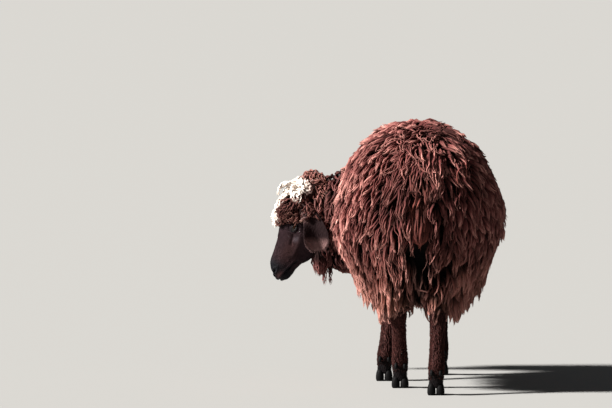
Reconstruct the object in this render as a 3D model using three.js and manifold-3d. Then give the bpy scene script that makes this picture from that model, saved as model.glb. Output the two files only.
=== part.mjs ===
// A life-size standing sheep of a long-woolled, lop-eared breed, looking back to its left with its head low.
// Millimetres, +Z up. The sheep faces +Y and its left side is -X. The solids reach out to the tips of its coat.
// The origin is on the floor, at the middle of the sheep's bounding box.
import * as THREE from "three";
import { mergeVertices } from "three/addons/utils/BufferGeometryUtils.js";
import Module from "manifold-3d";

const wasm = await Module();
wasm.setup();

// Driving dimensions.
const gap = 0.45; // clearance between neighbouring pieces
const trunkLength = 824; // breech to brisket, out to the tips of the fleece
const trunkWidth = 482;
const backHeight = 757; // floor to the top of the fleece
const widestHeight = 470; // floor to the widest level of the fleece
const hemHeight = 152; // floor to the lowest locks of the flanks
const hemTuck = 0.1; // how much narrower than an oval the fleece is at its hem
const bellyRise = 55; // how far the middle of the belly lies above the flank locks
const breechGroove = 38; // depth of the hollow between the thighs, below the tail
const headPitch = 57; // degrees that the head's axis points below the horizontal
const noseTip = new THREE.Vector3(-415, 460, 299);
const eyeRadius = 13.5;
const eyePlace = { out: 41, behindNose: 137, up: 12 };
const fetlockHeight = 78;
const coronetHeight = 30;
const footprint = {
  hindRight: [46, -365],
  hindLeft: [-50, -118],
  frontLeft: [-92, 128],
  frontRight: [72, 338],
};
const sides = { left: -1, right: 1 };

const ahead = new THREE.Vector3(0, 1, 0);
const upright = new THREE.Vector3(0, 0, 1);

// ---- Helpers ----

// A manifold solid of a three.js geometry, with its faces turned outwards.
function solidOf(geometry) {
  const bare = geometry.index ? geometry.toNonIndexed() : geometry.clone();
  bare.deleteAttribute("normal");
  bare.deleteAttribute("uv");
  const merged = mergeVertices(bare, 1e-3);
  const corners = merged.index.array;
  const faces = [];
  for (let i = 0; i < corners.length; i += 3) {
    const [a, b, c] = [corners[i], corners[i + 1], corners[i + 2]];
    if (a !== b && b !== c && c !== a) faces.push(a, b, c);
  }
  const vertProperties = merged.getAttribute("position").array;
  const solidFrom = (indices) =>
    new wasm.Manifold(new wasm.Mesh({ numProp: 3, vertProperties, triVerts: new Uint32Array(indices) }));
  const solid = solidFrom(faces);
  if (solid.volume() > 0) return solid;
  return solidFrom(faces.map((_, i) => faces[i - (i % 3) + 2 - (i % 3)]));
}

function geometryOf(solid) {
  const mesh = solid.getMesh();
  const geometry = new THREE.BufferGeometry();
  geometry.setAttribute("position", new THREE.BufferAttribute(new Float32Array(mesh.vertProperties), 3));
  geometry.setIndex(new THREE.BufferAttribute(new Uint32Array(mesh.triVerts), 1));
  geometry.computeVertexNormals();
  return geometry;
}

// The solid with its surface moved outwards by the clearance: what its neighbours are cut with.
function swollen(solid) {
  const geometry = geometryOf(solid);
  const place = geometry.getAttribute("position");
  const normal = geometry.getAttribute("normal");
  for (let i = 0; i < place.count; i++) {
    place.setXYZ(
      i,
      place.getX(i) + gap * normal.getX(i),
      place.getY(i) + gap * normal.getY(i),
      place.getZ(i) + gap * normal.getZ(i),
    );
  }
  return solidOf(geometry);
}

// The largest body that is left of a solid after its cuts.
function cutAll(solid, cutters) {
  const rest = cutters.reduce((left, cutter) => left.subtract(cutter), solid);
  return rest.decompose().sort((a, b) => b.volume() - a.volume())[0];
}

// A soft step: 0 while value is before from, 1 once it is past to.
function softStep(value, from, to) {
  return THREE.MathUtils.smoothstep((value - from) / (to - from), 0, 1);
}

function between(a, b, share) {
  return a.map((value, i) => value + (b[i] - value) * share);
}

// A closed organic form through cross-sections [x, y, z, half width, reach towards up, reach away from up].
// Its two ends are rounded over capLengths, and cup bends the sides of each section towards up.
function form(sections, { up, around, along, capLengths, cup = 0, adjust = null }) {
  const capRows = 2;
  const rows = along + 2 * capRows;
  const geometry = new THREE.SphereGeometry(1, around, rows);
  const spine = new THREE.CatmullRomCurve3(sections.map((s) => new THREE.Vector3(s[0], s[1], s[2])));
  const reach = new THREE.CatmullRomCurve3(sections.map((s) => new THREE.Vector3(s[3], s[4], s[5])));
  const place = geometry.getAttribute("position");
  const uv = geometry.getAttribute("uv");
  for (let i = 0; i < place.count; i++) {
    const row = Math.round((1 - uv.getY(i)) * rows);
    const share = THREE.MathUtils.clamp((row - capRows) / along, 0, 1);
    const endAngle = (Math.min(row, rows - row, capRows) / capRows) * (Math.PI / 2);
    const pole = endAngle === 0;
    const capLength = share === 0 ? -capLengths[0] : capLengths[1];
    const tangent = spine.getTangent(share);
    const upward = up.clone().addScaledVector(tangent, -up.dot(tangent)).normalize();
    const sideways = new THREE.Vector3().crossVectors(tangent, upward);
    const size = reach.getPoint(share);
    const turn = uv.getX(i) * 2 * Math.PI;
    const across = pole ? 0 : Math.cos(turn) * Math.sin(endAngle) * size.x;
    const lift = pole ? 0 : Math.sin(turn) * Math.sin(endAngle) * (Math.sin(turn) > 0 ? size.y : size.z);
    const point = spine
      .getPoint(share)
      .addScaledVector(tangent, capLength * Math.cos(endAngle))
      .addScaledVector(sideways, across)
      .addScaledVector(upward, lift + (cup * across * across) / size.x);
    if (adjust) adjust(point);
    place.setXYZ(i, point.x, point.y, point.z);
  }
  return solidOf(geometry);
}

function ellipsoid(x, y, z, rx, ry, rz, around, rows) {
  const geometry = new THREE.SphereGeometry(1, around, rows);
  geometry.scale(rx, ry, rz);
  geometry.translate(x, y, z);
  return solidOf(geometry);
}

// ---- Trunk and tail ----

// The fleece of the trunk. Its half width, top line and hem swell out from both ends, and the higher the power,
// the blunter the end. It is parted along the belly and between the thighs.
function trunk() {
  const endAngle = 74; // degrees from the middle, where the rounded ends begin
  const sections = [];
  for (let step = -6; step <= 6; step++) {
    const t = Math.sin(THREE.MathUtils.degToRad((step / 6) * endAngle));
    const swell = (behind, before) => Math.sqrt(1 - Math.abs(t) ** (t < 0 ? behind : before));
    const waist = 10 * Math.exp(-(((t - 0.3) / 0.25) ** 2)); // the hollow behind the withers
    const side = (trunkWidth / 2) * swell(3, 2.6) - waist * 0.5;
    const top = (backHeight - widestHeight) * swell(3.2, 3) - waist;
    const bottom = (widestHeight - hemHeight + 8) * swell(6, 2.6);
    sections.push([0, (t * trunkLength) / 2, widestHeight, side, top, bottom]);
  }
  const part = (point) => {
    const belly = Math.exp(-((point.x / 58) ** 2)) * softStep(point.z, 320, 200);
    const breech = Math.exp(-((point.x / 34) ** 2)) * softStep(point.z, 460, 350);
    point.x *= 1 - hemTuck * softStep(point.z, 410, 240);
    point.z += bellyRise * belly;
    point.y += breechGroove * breech * softStep(point.y, -250, -345);
  };
  const endLength = (trunkLength / 2) * (1 - Math.sin(THREE.MathUtils.degToRad(endAngle)));
  return form(sections, {
    up: upright, around: 28, along: 16, capLengths: [endLength, endLength], adjust: part,
  });
}

// The woolly tail hangs over the breech.
function tail() {
  const sections = [
    [0, -330, 600, 30, 22, 18],
    [0, -372, 566, 36, 26, 24],
    [1, -396, 524, 38, 26, 25],
    [2, -407, 478, 34, 24, 24],
    [3, -408, 434, 22, 17, 18],
  ];
  return form(sections, { up: ahead, around: 12, along: 6, capLengths: [18, 28] });
}

// ---- Neck and throat locks ----

function neck() {
  const sections = [
    [0, 215, 495, 110, 140, 150],
    [-14, 292, 490, 120, 164, 168],
    [-56, 374, 474, 118, 172, 172],
    [-118, 424, 458, 106, 158, 166],
    [-182, 448, 450, 92, 144, 160],
    [-232, 458, 452, 76, 136, 156],
    [-264, 460, 462, 58, 128, 146],
    [-288, 460, 476, 50, 112, 106],
    [-308, 460, 490, 44, 92, 66],
  ];
  return form(sections, { up: upright, around: 18, along: 10, capLengths: [40, 16] });
}

// Matted locks that hang below the throat: centre x, y, z, half width and half length.
const throatLocks = {
  front: [-282, 438, 306, 14, 36],
  middle: [-262, 442, 284, 8, 32],
  rear: [-248, 448, 276, 6, 32],
};

function throatLock([x, y, z, width, length]) {
  const sections = [
    [x + 4, y + 4, z + length * 0.8, width * 0.8, width * 0.7, width * 0.7],
    [x, y, z, width, width * 0.8, width * 0.8],
    [x, y, z - length * 0.7, width * 0.55, width * 0.5, width * 0.5],
  ];
  return form(sections, { up: ahead, around: 8, along: 3, capLengths: [width * 0.6, length * 0.3] });
}

// ---- Head ----

// The head has a frame of its own: +Y along its axis to the nose, +Z to the forehead, and the origin at the nose.

const pitch = THREE.MathUtils.degToRad(headPitch);
const headFrame = new THREE.Matrix4()
  .makeBasis(
    new THREE.Vector3(0, 1, 0),
    new THREE.Vector3(-Math.cos(pitch), 0, -Math.sin(pitch)),
    new THREE.Vector3(-Math.sin(pitch), 0, Math.cos(pitch)),
  )
  .setPosition(noseTip);

function inHeadFrame(solid) {
  return solidOf(geometryOf(solid).applyMatrix4(headFrame));
}

// Sections of the skull with its short coat: distance behind the nose, forehead, chin and half width.
const skull = [
  [-14, -9, -39, 13],
  [-8, -2, -48, 19],
  [2, 6, -56, 23],
  [15, 14, -61, 25.5],
  [35, 23, -62, 27],
  [60, 31, -70, 30],
  [85, 40, -83, 37],
  [108, 47, -91, 47],
  [130, 53, -94, 57],
  [155, 57, -93, 59],
  [180, 56, -86, 55],
  [205, 50, -70, 48],
  [226, 38, -50, 38],
];

function wholeHead() {
  const sections = skull.map(([back, forehead, chin, halfWidth]) => {
    const middle = (forehead + chin) / 2;
    return [0, -back, middle, halfWidth, forehead - middle, middle - chin];
  });
  return form(sections, { up: upright, around: 22, along: 18, capLengths: [5, 18] });
}

// The wool that caps the forehead and poll.
function topknot() {
  const sections = [
    [0, -122, 50, 34, 24, 22],
    [0, -145, 53, 52, 35, 36],
    [0, -175, 52, 61, 42, 44],
    [0, -208, 48, 62, 47, 46],
    [0, -238, 40, 54, 51, 42],
  ];
  return form(sections, { up: upright, around: 18, along: 7, capLengths: [12, 26] });
}

// Rows of an ear from its root to its tip: how far it has dropped, how far out and back it stands, half width
// and half thickness.
const earLeaf = [
  [0, 0, 0, 13, 10],
  [22, 18, 8, 18, 7],
  [48, 29, 18, 28, 5],
  [76, 33, 25, 35, 4.2],
  [100, 32, 28, 32, 3.8],
  [116, 30, 28, 20, 3.6],
];

// A drooping ear, hollow on its outer side, that leaves the head behind the eye.
function ear(side) {
  const down = new THREE.Vector3(0, 0, -1).transformDirection(headFrame.clone().invert());
  const outward = new THREE.Vector3(side, 0, 0);
  const aft = new THREE.Vector3(0, -1, 0).addScaledVector(down, down.y).normalize();
  const root = new THREE.Vector3(side * 42, -208, 12);
  const sections = earLeaf.map(([drop, out, back, halfWidth, thick]) => {
    const at = root.clone().addScaledVector(down, drop);
    at.addScaledVector(outward, out).addScaledVector(aft, back);
    return [at.x, at.y, at.z, halfWidth, thick, thick];
  });
  return form(sections, { up: outward, around: 12, along: 8, capLengths: [10, 9], cup: 0.3 });
}

function eye(side) {
  const { out, behindNose, up } = eyePlace;
  return ellipsoid(side * out, -behindNose, up, eyeRadius, eyeRadius, eyeRadius, 12, 8);
}

// A nostril is a slanting slit in the front of the nose.
function nostril(side) {
  const geometry = new THREE.SphereGeometry(1, 8, 5);
  geometry.scale(4.2, 6, 9.5);
  geometry.rotateX(THREE.MathUtils.degToRad(-32));
  geometry.rotateY(THREE.MathUtils.degToRad(side * 28));
  geometry.translate(side * 16.5, 9, -10);
  return solidOf(geometry);
}

// The space below the mouth line and ahead of the jaw's angle, drawn in the head's side view.
function jawSpace(clearance) {
  const mouth = [[40, -33], [-46, -42], [-100, -60], [-150, -82], [-178, -125], [40, -125]];
  const outline = new THREE.Shape(mouth.map(([y, z]) => new THREE.Vector2(y, z + clearance)));
  const width = 160;
  const geometry = new THREE.ExtrudeGeometry(outline, { depth: width, bevelEnabled: false });
  const side = new THREE.Matrix4().makeBasis(ahead, upright, new THREE.Vector3(1, 0, 0));
  return solidOf(geometry.applyMatrix4(side).translate(-width / 2, 0, 0));
}

// ---- Legs ----

// Rows down a leg: place along its joints, counted from the hip or shoulder, then half width, reach ahead and
// reach behind.
const shankRows = [
  [2.3, 23, 22, 24],
  [2.7, 22, 21, 22],
  [3, 24, 24, 26],
  [3.5, 23, 22, 22],
  [4, 21, 22, 20],
];
const hindRows = [
  [0, 92, 112, 92],
  [0.5, 84, 100, 80],
  [1, 62, 76, 60],
  [1.6, 36, 42, 40],
  [2, 26, 27, 31],
  ...shankRows,
];
const frontRows = [
  [0, 88, 100, 88],
  [0.5, 80, 88, 78],
  [1, 58, 62, 56],
  [1.6, 32, 34, 34],
  [2, 26, 27, 26],
  ...shankRows,
];

// Each leg's joints from the hip or shoulder to the hock or knee, and the place of its fetlock.
const legs = {
  hindRight: {
    rows: hindRows,
    joints: [[96, -232, 470], [82, -262, 350], [52, -340, 232]],
    fetlock: [47, -385],
  },
  hindLeft: {
    rows: hindRows,
    joints: [[-100, -218, 470], [-92, -222, 350], [-57, -180, 232]],
    fetlock: [-51, -141],
  },
  frontLeft: {
    rows: frontRows,
    joints: [[-98, 222, 450], [-88, 206, 330], [-74, 168, 205]],
    fetlock: [-89, 114],
  },
  frontRight: {
    rows: frontRows,
    joints: [[98, 226, 450], [86, 258, 330], [71, 304, 205]],
    fetlock: [73, 316],
  },
};

function leg(name) {
  const { rows, joints, fetlock } = legs[name];
  const [x, y] = footprint[name];
  const path = [...joints, [...fetlock, fetlockHeight], [x, y - 6, coronetHeight]];
  const sections = rows.map(([place, ...reaches]) => {
    const from = Math.min(Math.floor(place), path.length - 2);
    return [...between(path[from], path[from + 1], place - from), ...reaches];
  });
  return form(sections, { up: ahead, around: 12, along: 14, capLengths: [40, 8] });
}

// One of the two claws of a cloven hoof, flat on the floor. side is -1 for the claw on the left of the cleft.
function claw(name, side) {
  const [x, y] = footprint[name];
  const centre = x + side * 12.4;
  const sections = [
    [centre, y - 22, 8, 11.6, 26, 14],
    [centre, y - 6, 8, 12, 31, 14],
    [centre, y + 10, 7, 11.6, 27, 14],
    [centre - side, y + 26, 5, 8, 12, 14],
  ];
  const floor = new THREE.BoxGeometry(80, 120, 60).translate(centre, y, -30);
  return form(sections, { up: upright, around: 8, along: 4, capLengths: [7, 8] }).subtract(solidOf(floor));
}

function dewclaw(name, side) {
  const [x, y] = legs[name].fetlock;
  return ellipsoid(x + side * 12, y - 19, fetlockHeight - 15, 5.5, 7, 8, 6, 5);
}

// ---- Assembly ----

const fleeceBrown = new THREE.MeshStandardMaterial({ color: 0x6e3f34, roughness: 0.95, metalness: 0 });
const faceBlack = new THREE.MeshStandardMaterial({ color: 0x1d1719, roughness: 0.75, metalness: 0 });
const topknotCream = new THREE.MeshStandardMaterial({ color: 0xe9dccb, roughness: 0.95, metalness: 0 });
const legBrown = new THREE.MeshStandardMaterial({ color: 0x3a211b, roughness: 0.9, metalness: 0 });
const hoofBlack = new THREE.MeshStandardMaterial({ color: 0x17130f, roughness: 0.6, metalness: 0 });
const eyeAmber = new THREE.MeshStandardMaterial({ color: 0x2a1a0c, roughness: 0.1, metalness: 0 });

const sheep = new THREE.Group();
sheep.name = "sheep";

function add(name, solid, material) {
  const mesh = new THREE.Mesh(geometryOf(solid), material);
  mesh.name = name;
  sheep.add(mesh);
}

const bodySpace = swollen(trunk());
const neckSpace = swollen(neck());
const headSpace = swollen(inHeadFrame(wholeHead()));
const capSpace = swollen(inHeadFrame(topknot()));

function addTrunk() {
  add("trunk", trunk(), fleeceBrown);
  add("tail", cutAll(tail(), [bodySpace]), fleeceBrown);
  add("neck", cutAll(neck(), [bodySpace, headSpace, capSpace]), fleeceBrown);
  for (const [name, sizes] of Object.entries(throatLocks)) {
    add("throat_lock_" + name, cutAll(throatLock(sizes), [neckSpace, headSpace]), fleeceBrown);
  }
}

function addHead() {
  const sockets = Object.values(sides).map((side) => swollen(eye(side)));
  const nostrils = Object.values(sides).map(nostril);
  const head = cutAll(wholeHead(), [...sockets, ...nostrils]);
  add("head", inHeadFrame(cutAll(head, [jawSpace(gap)])), faceBlack);
  add("lower_jaw", inHeadFrame(head.intersect(jawSpace(0))), faceBlack);
  add("topknot", cutAll(inHeadFrame(topknot()), [headSpace]), topknotCream);
  for (const [word, side] of Object.entries(sides)) {
    add("ear_" + word, cutAll(inHeadFrame(ear(side)), [headSpace, capSpace, neckSpace]), faceBlack);
    add("eye_" + word, inHeadFrame(eye(side)), eyeAmber);
  }
}

function addLegs() {
  for (const name of Object.keys(footprint)) {
    const snakeName = name.replace(/[A-Z]/g, (letter) => "_" + letter.toLowerCase());
    const hornSpace = [];
    for (const [word, side] of Object.entries(sides)) {
      add(`claw_${snakeName}_${word}`, claw(name, side), hoofBlack);
      add(`dewclaw_${snakeName}_${word}`, dewclaw(name, side), hoofBlack);
      hornSpace.push(swollen(claw(name, side)), swollen(dewclaw(name, side)));
    }
    add("leg_" + snakeName, cutAll(leg(name), [bodySpace, ...hornSpace]), legBrown);
  }
}

addTrunk();
addHead();
addLegs();

// The origin goes to the middle of the bounding box, on the floor.
const bounds = new THREE.Box3().setFromObject(sheep);
const middle = bounds.getCenter(new THREE.Vector3());
sheep.position.set(-middle.x, -middle.y, -bounds.min.z);

export default sheep;
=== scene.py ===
import math

import bmesh
import bpy
import numpy as np
from mathutils import Matrix, Vector
from mathutils.bvhtree import BVHTree
from mathutils.kdtree import KDTree


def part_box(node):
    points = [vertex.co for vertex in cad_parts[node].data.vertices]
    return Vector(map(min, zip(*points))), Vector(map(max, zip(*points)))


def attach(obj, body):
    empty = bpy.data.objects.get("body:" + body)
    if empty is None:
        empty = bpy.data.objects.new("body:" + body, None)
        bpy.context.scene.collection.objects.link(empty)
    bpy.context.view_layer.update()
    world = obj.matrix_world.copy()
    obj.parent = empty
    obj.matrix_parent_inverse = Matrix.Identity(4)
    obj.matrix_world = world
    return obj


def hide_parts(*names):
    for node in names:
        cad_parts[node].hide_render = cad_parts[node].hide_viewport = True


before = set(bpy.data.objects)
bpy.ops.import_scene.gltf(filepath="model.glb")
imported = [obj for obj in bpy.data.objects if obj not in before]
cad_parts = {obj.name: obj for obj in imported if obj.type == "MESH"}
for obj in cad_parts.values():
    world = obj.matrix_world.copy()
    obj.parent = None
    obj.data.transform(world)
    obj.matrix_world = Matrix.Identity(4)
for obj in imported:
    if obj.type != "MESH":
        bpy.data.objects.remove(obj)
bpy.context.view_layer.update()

scene = bpy.context.scene
root = "root"  # the one body of a still model

# where things are: metres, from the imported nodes

trunkLow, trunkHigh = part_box("trunk")
midline = np.array([(trunkLow.x + trunkHigh.x) / 2, (trunkLow.y + trunkHigh.y) / 2, 0.0])
eyeBoxes = {side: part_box("eye_" + side) for side in ("left", "right")}
eyeCentres = {side: np.array((low + high) / 2) for side, (low, high) in eyeBoxes.items()}
eyeRadius = (eyeBoxes["left"][1].z - eyeBoxes["left"][0].z) / 2

headPitch = math.radians(57)  # the head's axis points this far below the horizontal
headAxis = np.array([-math.cos(headPitch), 0, -math.sin(headPitch)])  # towards the nose
headUp = np.array([-math.sin(headPitch), 0, math.cos(headPitch)])  # out of the forehead
headSide = np.array([0.0, 1.0, 0.0])  # towards the animal's right
eyePlace = {"out": 0.041, "behindNose": 0.137, "up": 0.012}
noseTip = (eyeCentres["left"] + eyeCentres["right"]) / 2 + eyePlace["behindNose"] * headAxis
noseTip = noseTip - eyePlace["up"] * headUp
headFrame = np.stack([headSide, headAxis, headUp], 1)  # head coordinates to the row frame


def fromBody(points):
    return np.asarray(points, float) + midline


def fromHead(points):
    return np.asarray(points, float) @ headFrame.T + noseTip


def toHead(points):
    return (np.asarray(points, float) - noseTip) @ headFrame


def smoothStep(value, low, high):
    share = np.clip((np.asarray(value, float) - low) / (high - low), 0, 1)
    return share * share * (3 - 2 * share)


def unit(vectors):
    return vectors / np.maximum(np.linalg.norm(vectors, axis=-1, keepdims=True), 1e-9)


def mix(a, b, share):
    return a + (b - a) * share


def hill(distance, width):
    return np.exp(-((distance / width) ** 2))


# meshes, node trees and materials


def newPiece(name, mesh):
    piece = bpy.data.objects.new(name, mesh)
    scene.collection.objects.link(piece)
    return piece


def plainMesh(name, points, faces):
    mesh = bpy.data.meshes.new(name)
    mesh.from_pydata(points.tolist(), [], faces.tolist())
    mesh.update()
    return mesh


def readVectors(data, field):
    flat = np.empty(len(data) * 3, np.float32)
    data.foreach_get(field, flat)
    return flat.reshape(-1, 3).astype(float)


def readPoints(mesh):
    return readVectors(mesh.vertices, "co")


def readNormals(mesh):
    return readVectors(mesh.vertex_normals, "vector")


def joined(shapes):
    # several shapes of points and faces as one
    starts = np.cumsum([0] + [len(points) for points, faces in shapes])
    return (np.concatenate([points for points, faces in shapes]),
            np.concatenate([faces + start for (points, faces), start in zip(shapes, starts)]))


def meshAfter(piece, modifier):
    # the plain mesh that a modifier makes of a piece, without the modifier
    done = bpy.data.meshes.new_from_object(piece.evaluated_get(bpy.context.evaluated_depsgraph_get()))
    piece.modifiers.remove(modifier)
    return done


def applied(piece, modifierType, **settings):
    modifier = piece.modifiers.new("work", modifierType)
    for key, value in settings.items():
        setattr(modifier, key, value)
    piece.data = meshAfter(piece, modifier)


def appliedWhere(piece, chosen, modifierType, **settings):
    group = piece.vertex_groups.new(name="chosen")
    group.add(np.nonzero(chosen)[0].tolist(), 1.0, "REPLACE")
    applied(piece, modifierType, vertex_group="chosen", **settings)
    piece.vertex_groups.clear()


def grownBy(piece, tree, inputs):
    modifier = piece.modifiers.new("grow", "NODES")
    modifier.node_group = tree
    sockets = {s.name: s.identifier for s in tree.interface.items_tree if s.in_out == "INPUT"}
    for name, value in inputs.items():
        modifier[sockets[name]] = value
    return meshAfter(piece, modifier)


def storeAttribute(mesh, name, kind, values):
    attribute = mesh.attributes.new(name, kind, "POINT")
    field = {"FLOAT": "value", "FLOAT_VECTOR": "vector"}[kind]
    attribute.data.foreach_set(field, np.ascontiguousarray(values, np.float32).ravel())


def pointTree(points):
    tree = KDTree(len(points))
    for index, point in enumerate(points):
        tree.insert(point, index)
    tree.balance()
    return tree


def shapeTree(points, faces):
    return BVHTree.FromPolygons(points.tolist(), faces.tolist())


def addNode(tree, kind, inputs=None, **settings):
    node = tree.nodes.new(kind)
    for key, value in settings.items():
        setattr(node, key, value)
    for key, value in (inputs or {}).items():
        socket = node.inputs[key]
        if isinstance(value, bpy.types.NodeSocket):
            tree.links.new(value, socket)
        else:
            socket.default_value = value
    return node


def firstOf(tree, kind, inputs=None, **settings):
    return addNode(tree, kind, inputs, **settings).outputs[0]


def numbers(tree, operation, *values):
    return firstOf(tree, "ShaderNodeMath", dict(enumerate(values)), operation=operation)


def vectors(tree, operation, *values):
    inputs = {0: values[0], "Scale": values[1]} if operation == "SCALE" else dict(enumerate(values))
    node = addNode(tree, "ShaderNodeVectorMath", inputs, operation=operation)
    return node.outputs["Value" if operation == "LENGTH" else "Vector"]


def ranged(tree, value, start, end=(0.0, 1.0), curve="LINEAR"):
    return firstOf(tree, "ShaderNodeMapRange", {"Value": value, "From Min": start[0], "From Max": start[1],
                                                "To Min": end[0], "To Max": end[1]}, interpolation_type=curve)


def mixedColour(tree, share, first, second):
    return addNode(tree, "ShaderNodeMix", {"Factor": share, 6: first, 7: second}, data_type="RGBA").outputs[2]


def noise(tree, place, **values):
    return addNode(tree, "ShaderNodeTexNoise", {"Vector": place, **values}).outputs["Fac"]


def twoTones(tree, share, dark, light):
    ramp = addNode(tree, "ShaderNodeValToRGB", {"Fac": share})
    for element, colour in zip(ramp.color_ramp.elements, (dark, light)):
        element.color = (*colour, 1)
    return ramp.outputs["Color"]


def bumped(tree, height, strength, distance):
    return firstOf(tree, "ShaderNodeBump", {"Height": height, "Strength": strength, "Distance": distance})


def treeSockets(tree, inputs, outputs):
    for sockets, way in ((inputs, "INPUT"), (outputs, "OUTPUT")):
        for name, kind in sockets.items():
            tree.interface.new_socket(name, in_out=way, socket_type="NodeSocket" + kind)


def newMaterial(name, values):
    # values that are the same all over sit on the shader's own sockets
    material = bpy.data.materials.new(name)
    material.use_nodes = True
    shader = material.node_tree.nodes["Principled BSDF"]
    for key, value in values.items():
        shader.inputs[key].default_value = value
    return material


def linkShader(material, links):
    tree = material.node_tree
    for key, socket in links.items():
        tree.links.new(socket, tree.nodes["Principled BSDF"].inputs[key])
    return material


# camera, light and floor

# columns and rows are in pixels; the feet stand on the foot line, which is a little nearer than the aim
view = {
    "distance": 17.955, "height": 1.5, "yaw": -1.0, "focal": 381.2, "sensor": 36, "sheepColumn": 420,
    "footRow": 394.6, "footLine": -0.41, "aimBeyond": 0.045,
}
frameSize = (612, 408)


def addCamera():
    focalPixels = view["focal"] / view["sensor"] * frameSize[0]
    yaw = math.radians(view["yaw"])
    back = np.array([math.sin(yaw), -math.cos(yaw), 0])
    place = fromBody([0, view["footLine"], 0]) + back * view["distance"] + np.array([0, 0, view["height"]])
    level = unit(np.cross(-back, [0, 0, 1]))
    turn = math.atan((view["sheepColumn"] - frameSize[0] / 2) / focalPixels)
    ahead = -back * math.cos(turn) - level * math.sin(turn)
    drop = math.atan(view["height"] / (view["distance"] + view["aimBeyond"]))
    pitch = drop - math.atan((view["footRow"] - frameSize[1] / 2) / focalPixels)
    sight = ahead * math.cos(pitch) - np.array([0, 0, math.sin(pitch)])
    right = unit(np.cross(sight, [0, 0, 1]))
    data = bpy.data.cameras.new("camera")
    data.lens, data.sensor_width, data.clip_end = view["focal"], view["sensor"], 400
    camera = newPiece("camera", data)
    axes = np.stack([right, np.cross(right, sight), -sight, place], 1)
    camera.matrix_world = Matrix([*axes.tolist(), (0, 0, 0, 1)])
    scene.camera = camera


light = {
    "keyFrom": (-0.86, -0.20, 0.62), "keyPower": 12.0, "keySpread": 8, "keyColour": (1.0, 0.97, 0.93),
    "fillPower": 0.064, "fillColour": (0.93, 0.96, 1.0), "wallColour": (0.72, 0.72, 0.70),
}


def addLight():
    key = bpy.data.lights.new("softKey", "SUN")
    key.energy, key.angle, key.color = light["keyPower"], math.radians(light["keySpread"]), light["keyColour"]
    newPiece("softKey", key).rotation_euler = Vector(light["keyFrom"]).to_track_quat("Z", "Y").to_euler()
    world = bpy.data.worlds.new("studio")
    scene.world = world
    world.use_nodes = True
    tree = world.node_tree
    fill = tree.nodes["Background"]
    fill.inputs["Color"].default_value = (*light["fillColour"], 1)
    fill.inputs["Strength"].default_value = light["fillPower"]
    # behind the model the studio is as pale as the floor
    wall = firstOf(tree, "ShaderNodeBackground", {"Color": (*light["wallColour"], 1)})
    seen = addNode(tree, "ShaderNodeLightPath").outputs["Is Camera Ray"]
    both = firstOf(tree, "ShaderNodeMixShader", {0: seen, 1: fill.outputs[0], 2: wall})
    tree.links.new(both, tree.nodes["World Output"].inputs["Surface"])
    scene.view_settings.view_transform = "Standard"


studioFloor = {"half": 160, "colour": (0.305, 0.305, 0.298), "roughness": 0.9}


def addFloor():
    half = studioFloor["half"]
    corners = half * np.array([(-1, -1, 0), (1, -1, 0), (1, 1, 0), (-1, 1, 0)])
    floor = newPiece("floor", plainMesh("floor", corners, np.arange(4)[None]))
    floor.data.materials.append(newMaterial("floorPaint", {"Base Color": (*studioFloor["colour"], 1),
                                                           "Roughness": studioFloor["roughness"]}))


addCamera()
addLight()
addFloor()
print("camera, light and floor set")

# forms


def spline(rows, shares):
    rows = np.asarray(rows, float)
    last = len(rows) - 1
    place = np.clip(shares, 0, 1) * last
    at = np.minimum(place.astype(int), last - 1)
    t = (place - at)[:, None]
    before, start = rows[np.maximum(at - 1, 0)], rows[at]
    end, after = rows[at + 1], rows[np.minimum(at + 2, last)]
    bend = 2 * before - 5 * start + 4 * end - after
    sharp = 3 * start - before - 3 * end + after
    return start + 0.5 * t * (end - before + t * (bend + t * sharp))


def loft(rows, up, around=40, along=50, caps=(0.02, 0.02), cup=0.0):
    # each row: x, y, z, half width, reach towards up, reach away from up
    rows = np.asarray(rows, float)
    capRows = 6
    count = along + 1 + 2 * capRows
    row = np.arange(count)
    share = np.clip((row - capRows) / along, 0, 1)
    ramp = np.clip(np.minimum(row, count - 1 - row) / capRows, 0, 1) * math.pi / 2
    push = np.where(row < capRows, -caps[0], caps[1]) * np.cos(ramp)
    centre, size = spline(rows[:, :3], share), spline(rows[:, 3:], share) * np.sin(ramp)[:, None]
    ahead = spline(rows[:, :3], share + 1e-3) - spline(rows[:, :3], share - 1e-3)
    tangent = unit(ahead)
    upward = unit(np.asarray(up, float) - tangent * (tangent @ np.asarray(up, float))[:, None])
    sideways = np.cross(tangent, upward)
    turn = np.linspace(0, 2 * math.pi, around, endpoint=False)
    across = np.cos(turn)[None, :] * size[:, :1]
    lift = np.where(np.sin(turn) > 0, np.sin(turn) * size[:, 1:2], np.sin(turn) * size[:, 2:3])
    lift = lift + cup * across**2 / np.maximum(spline(rows[:, 3:4], share), 1e-4)
    centre = centre + tangent * push[:, None]
    points = centre[:, None] + across[..., None] * sideways[:, None] + lift[..., None] * upward[:, None]
    corner = np.arange(count * around).reshape(count, around)
    over = np.roll(corner, -1, 1)
    faces = np.stack([corner[:-1], over[:-1], over[1:], corner[1:]], -1).reshape(-1, 4)
    points = points.reshape(-1, 3)
    a, b, c, d = (points[faces[:, k]] for k in range(4))
    outward = np.sum(np.cross(c - a, d - b) * (a + b + c + d - 4 * points.mean(0)))
    return points, faces if outward > 0 else faces[:, ::-1]


# the trunk in its own coordinates; the coat is what the locks add to each side
trunkSize = {
    "length": 0.824, "width": 0.482, "back": 0.757, "widest": 0.470, "hem": 0.152,
    "sideCoat": 0.046, "topCoat": 0.046, "endCoat": 0.044, "bellyCoat": 0.105, "bellyRise": 0.055,
    "groove": 0.038,
}


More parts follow.
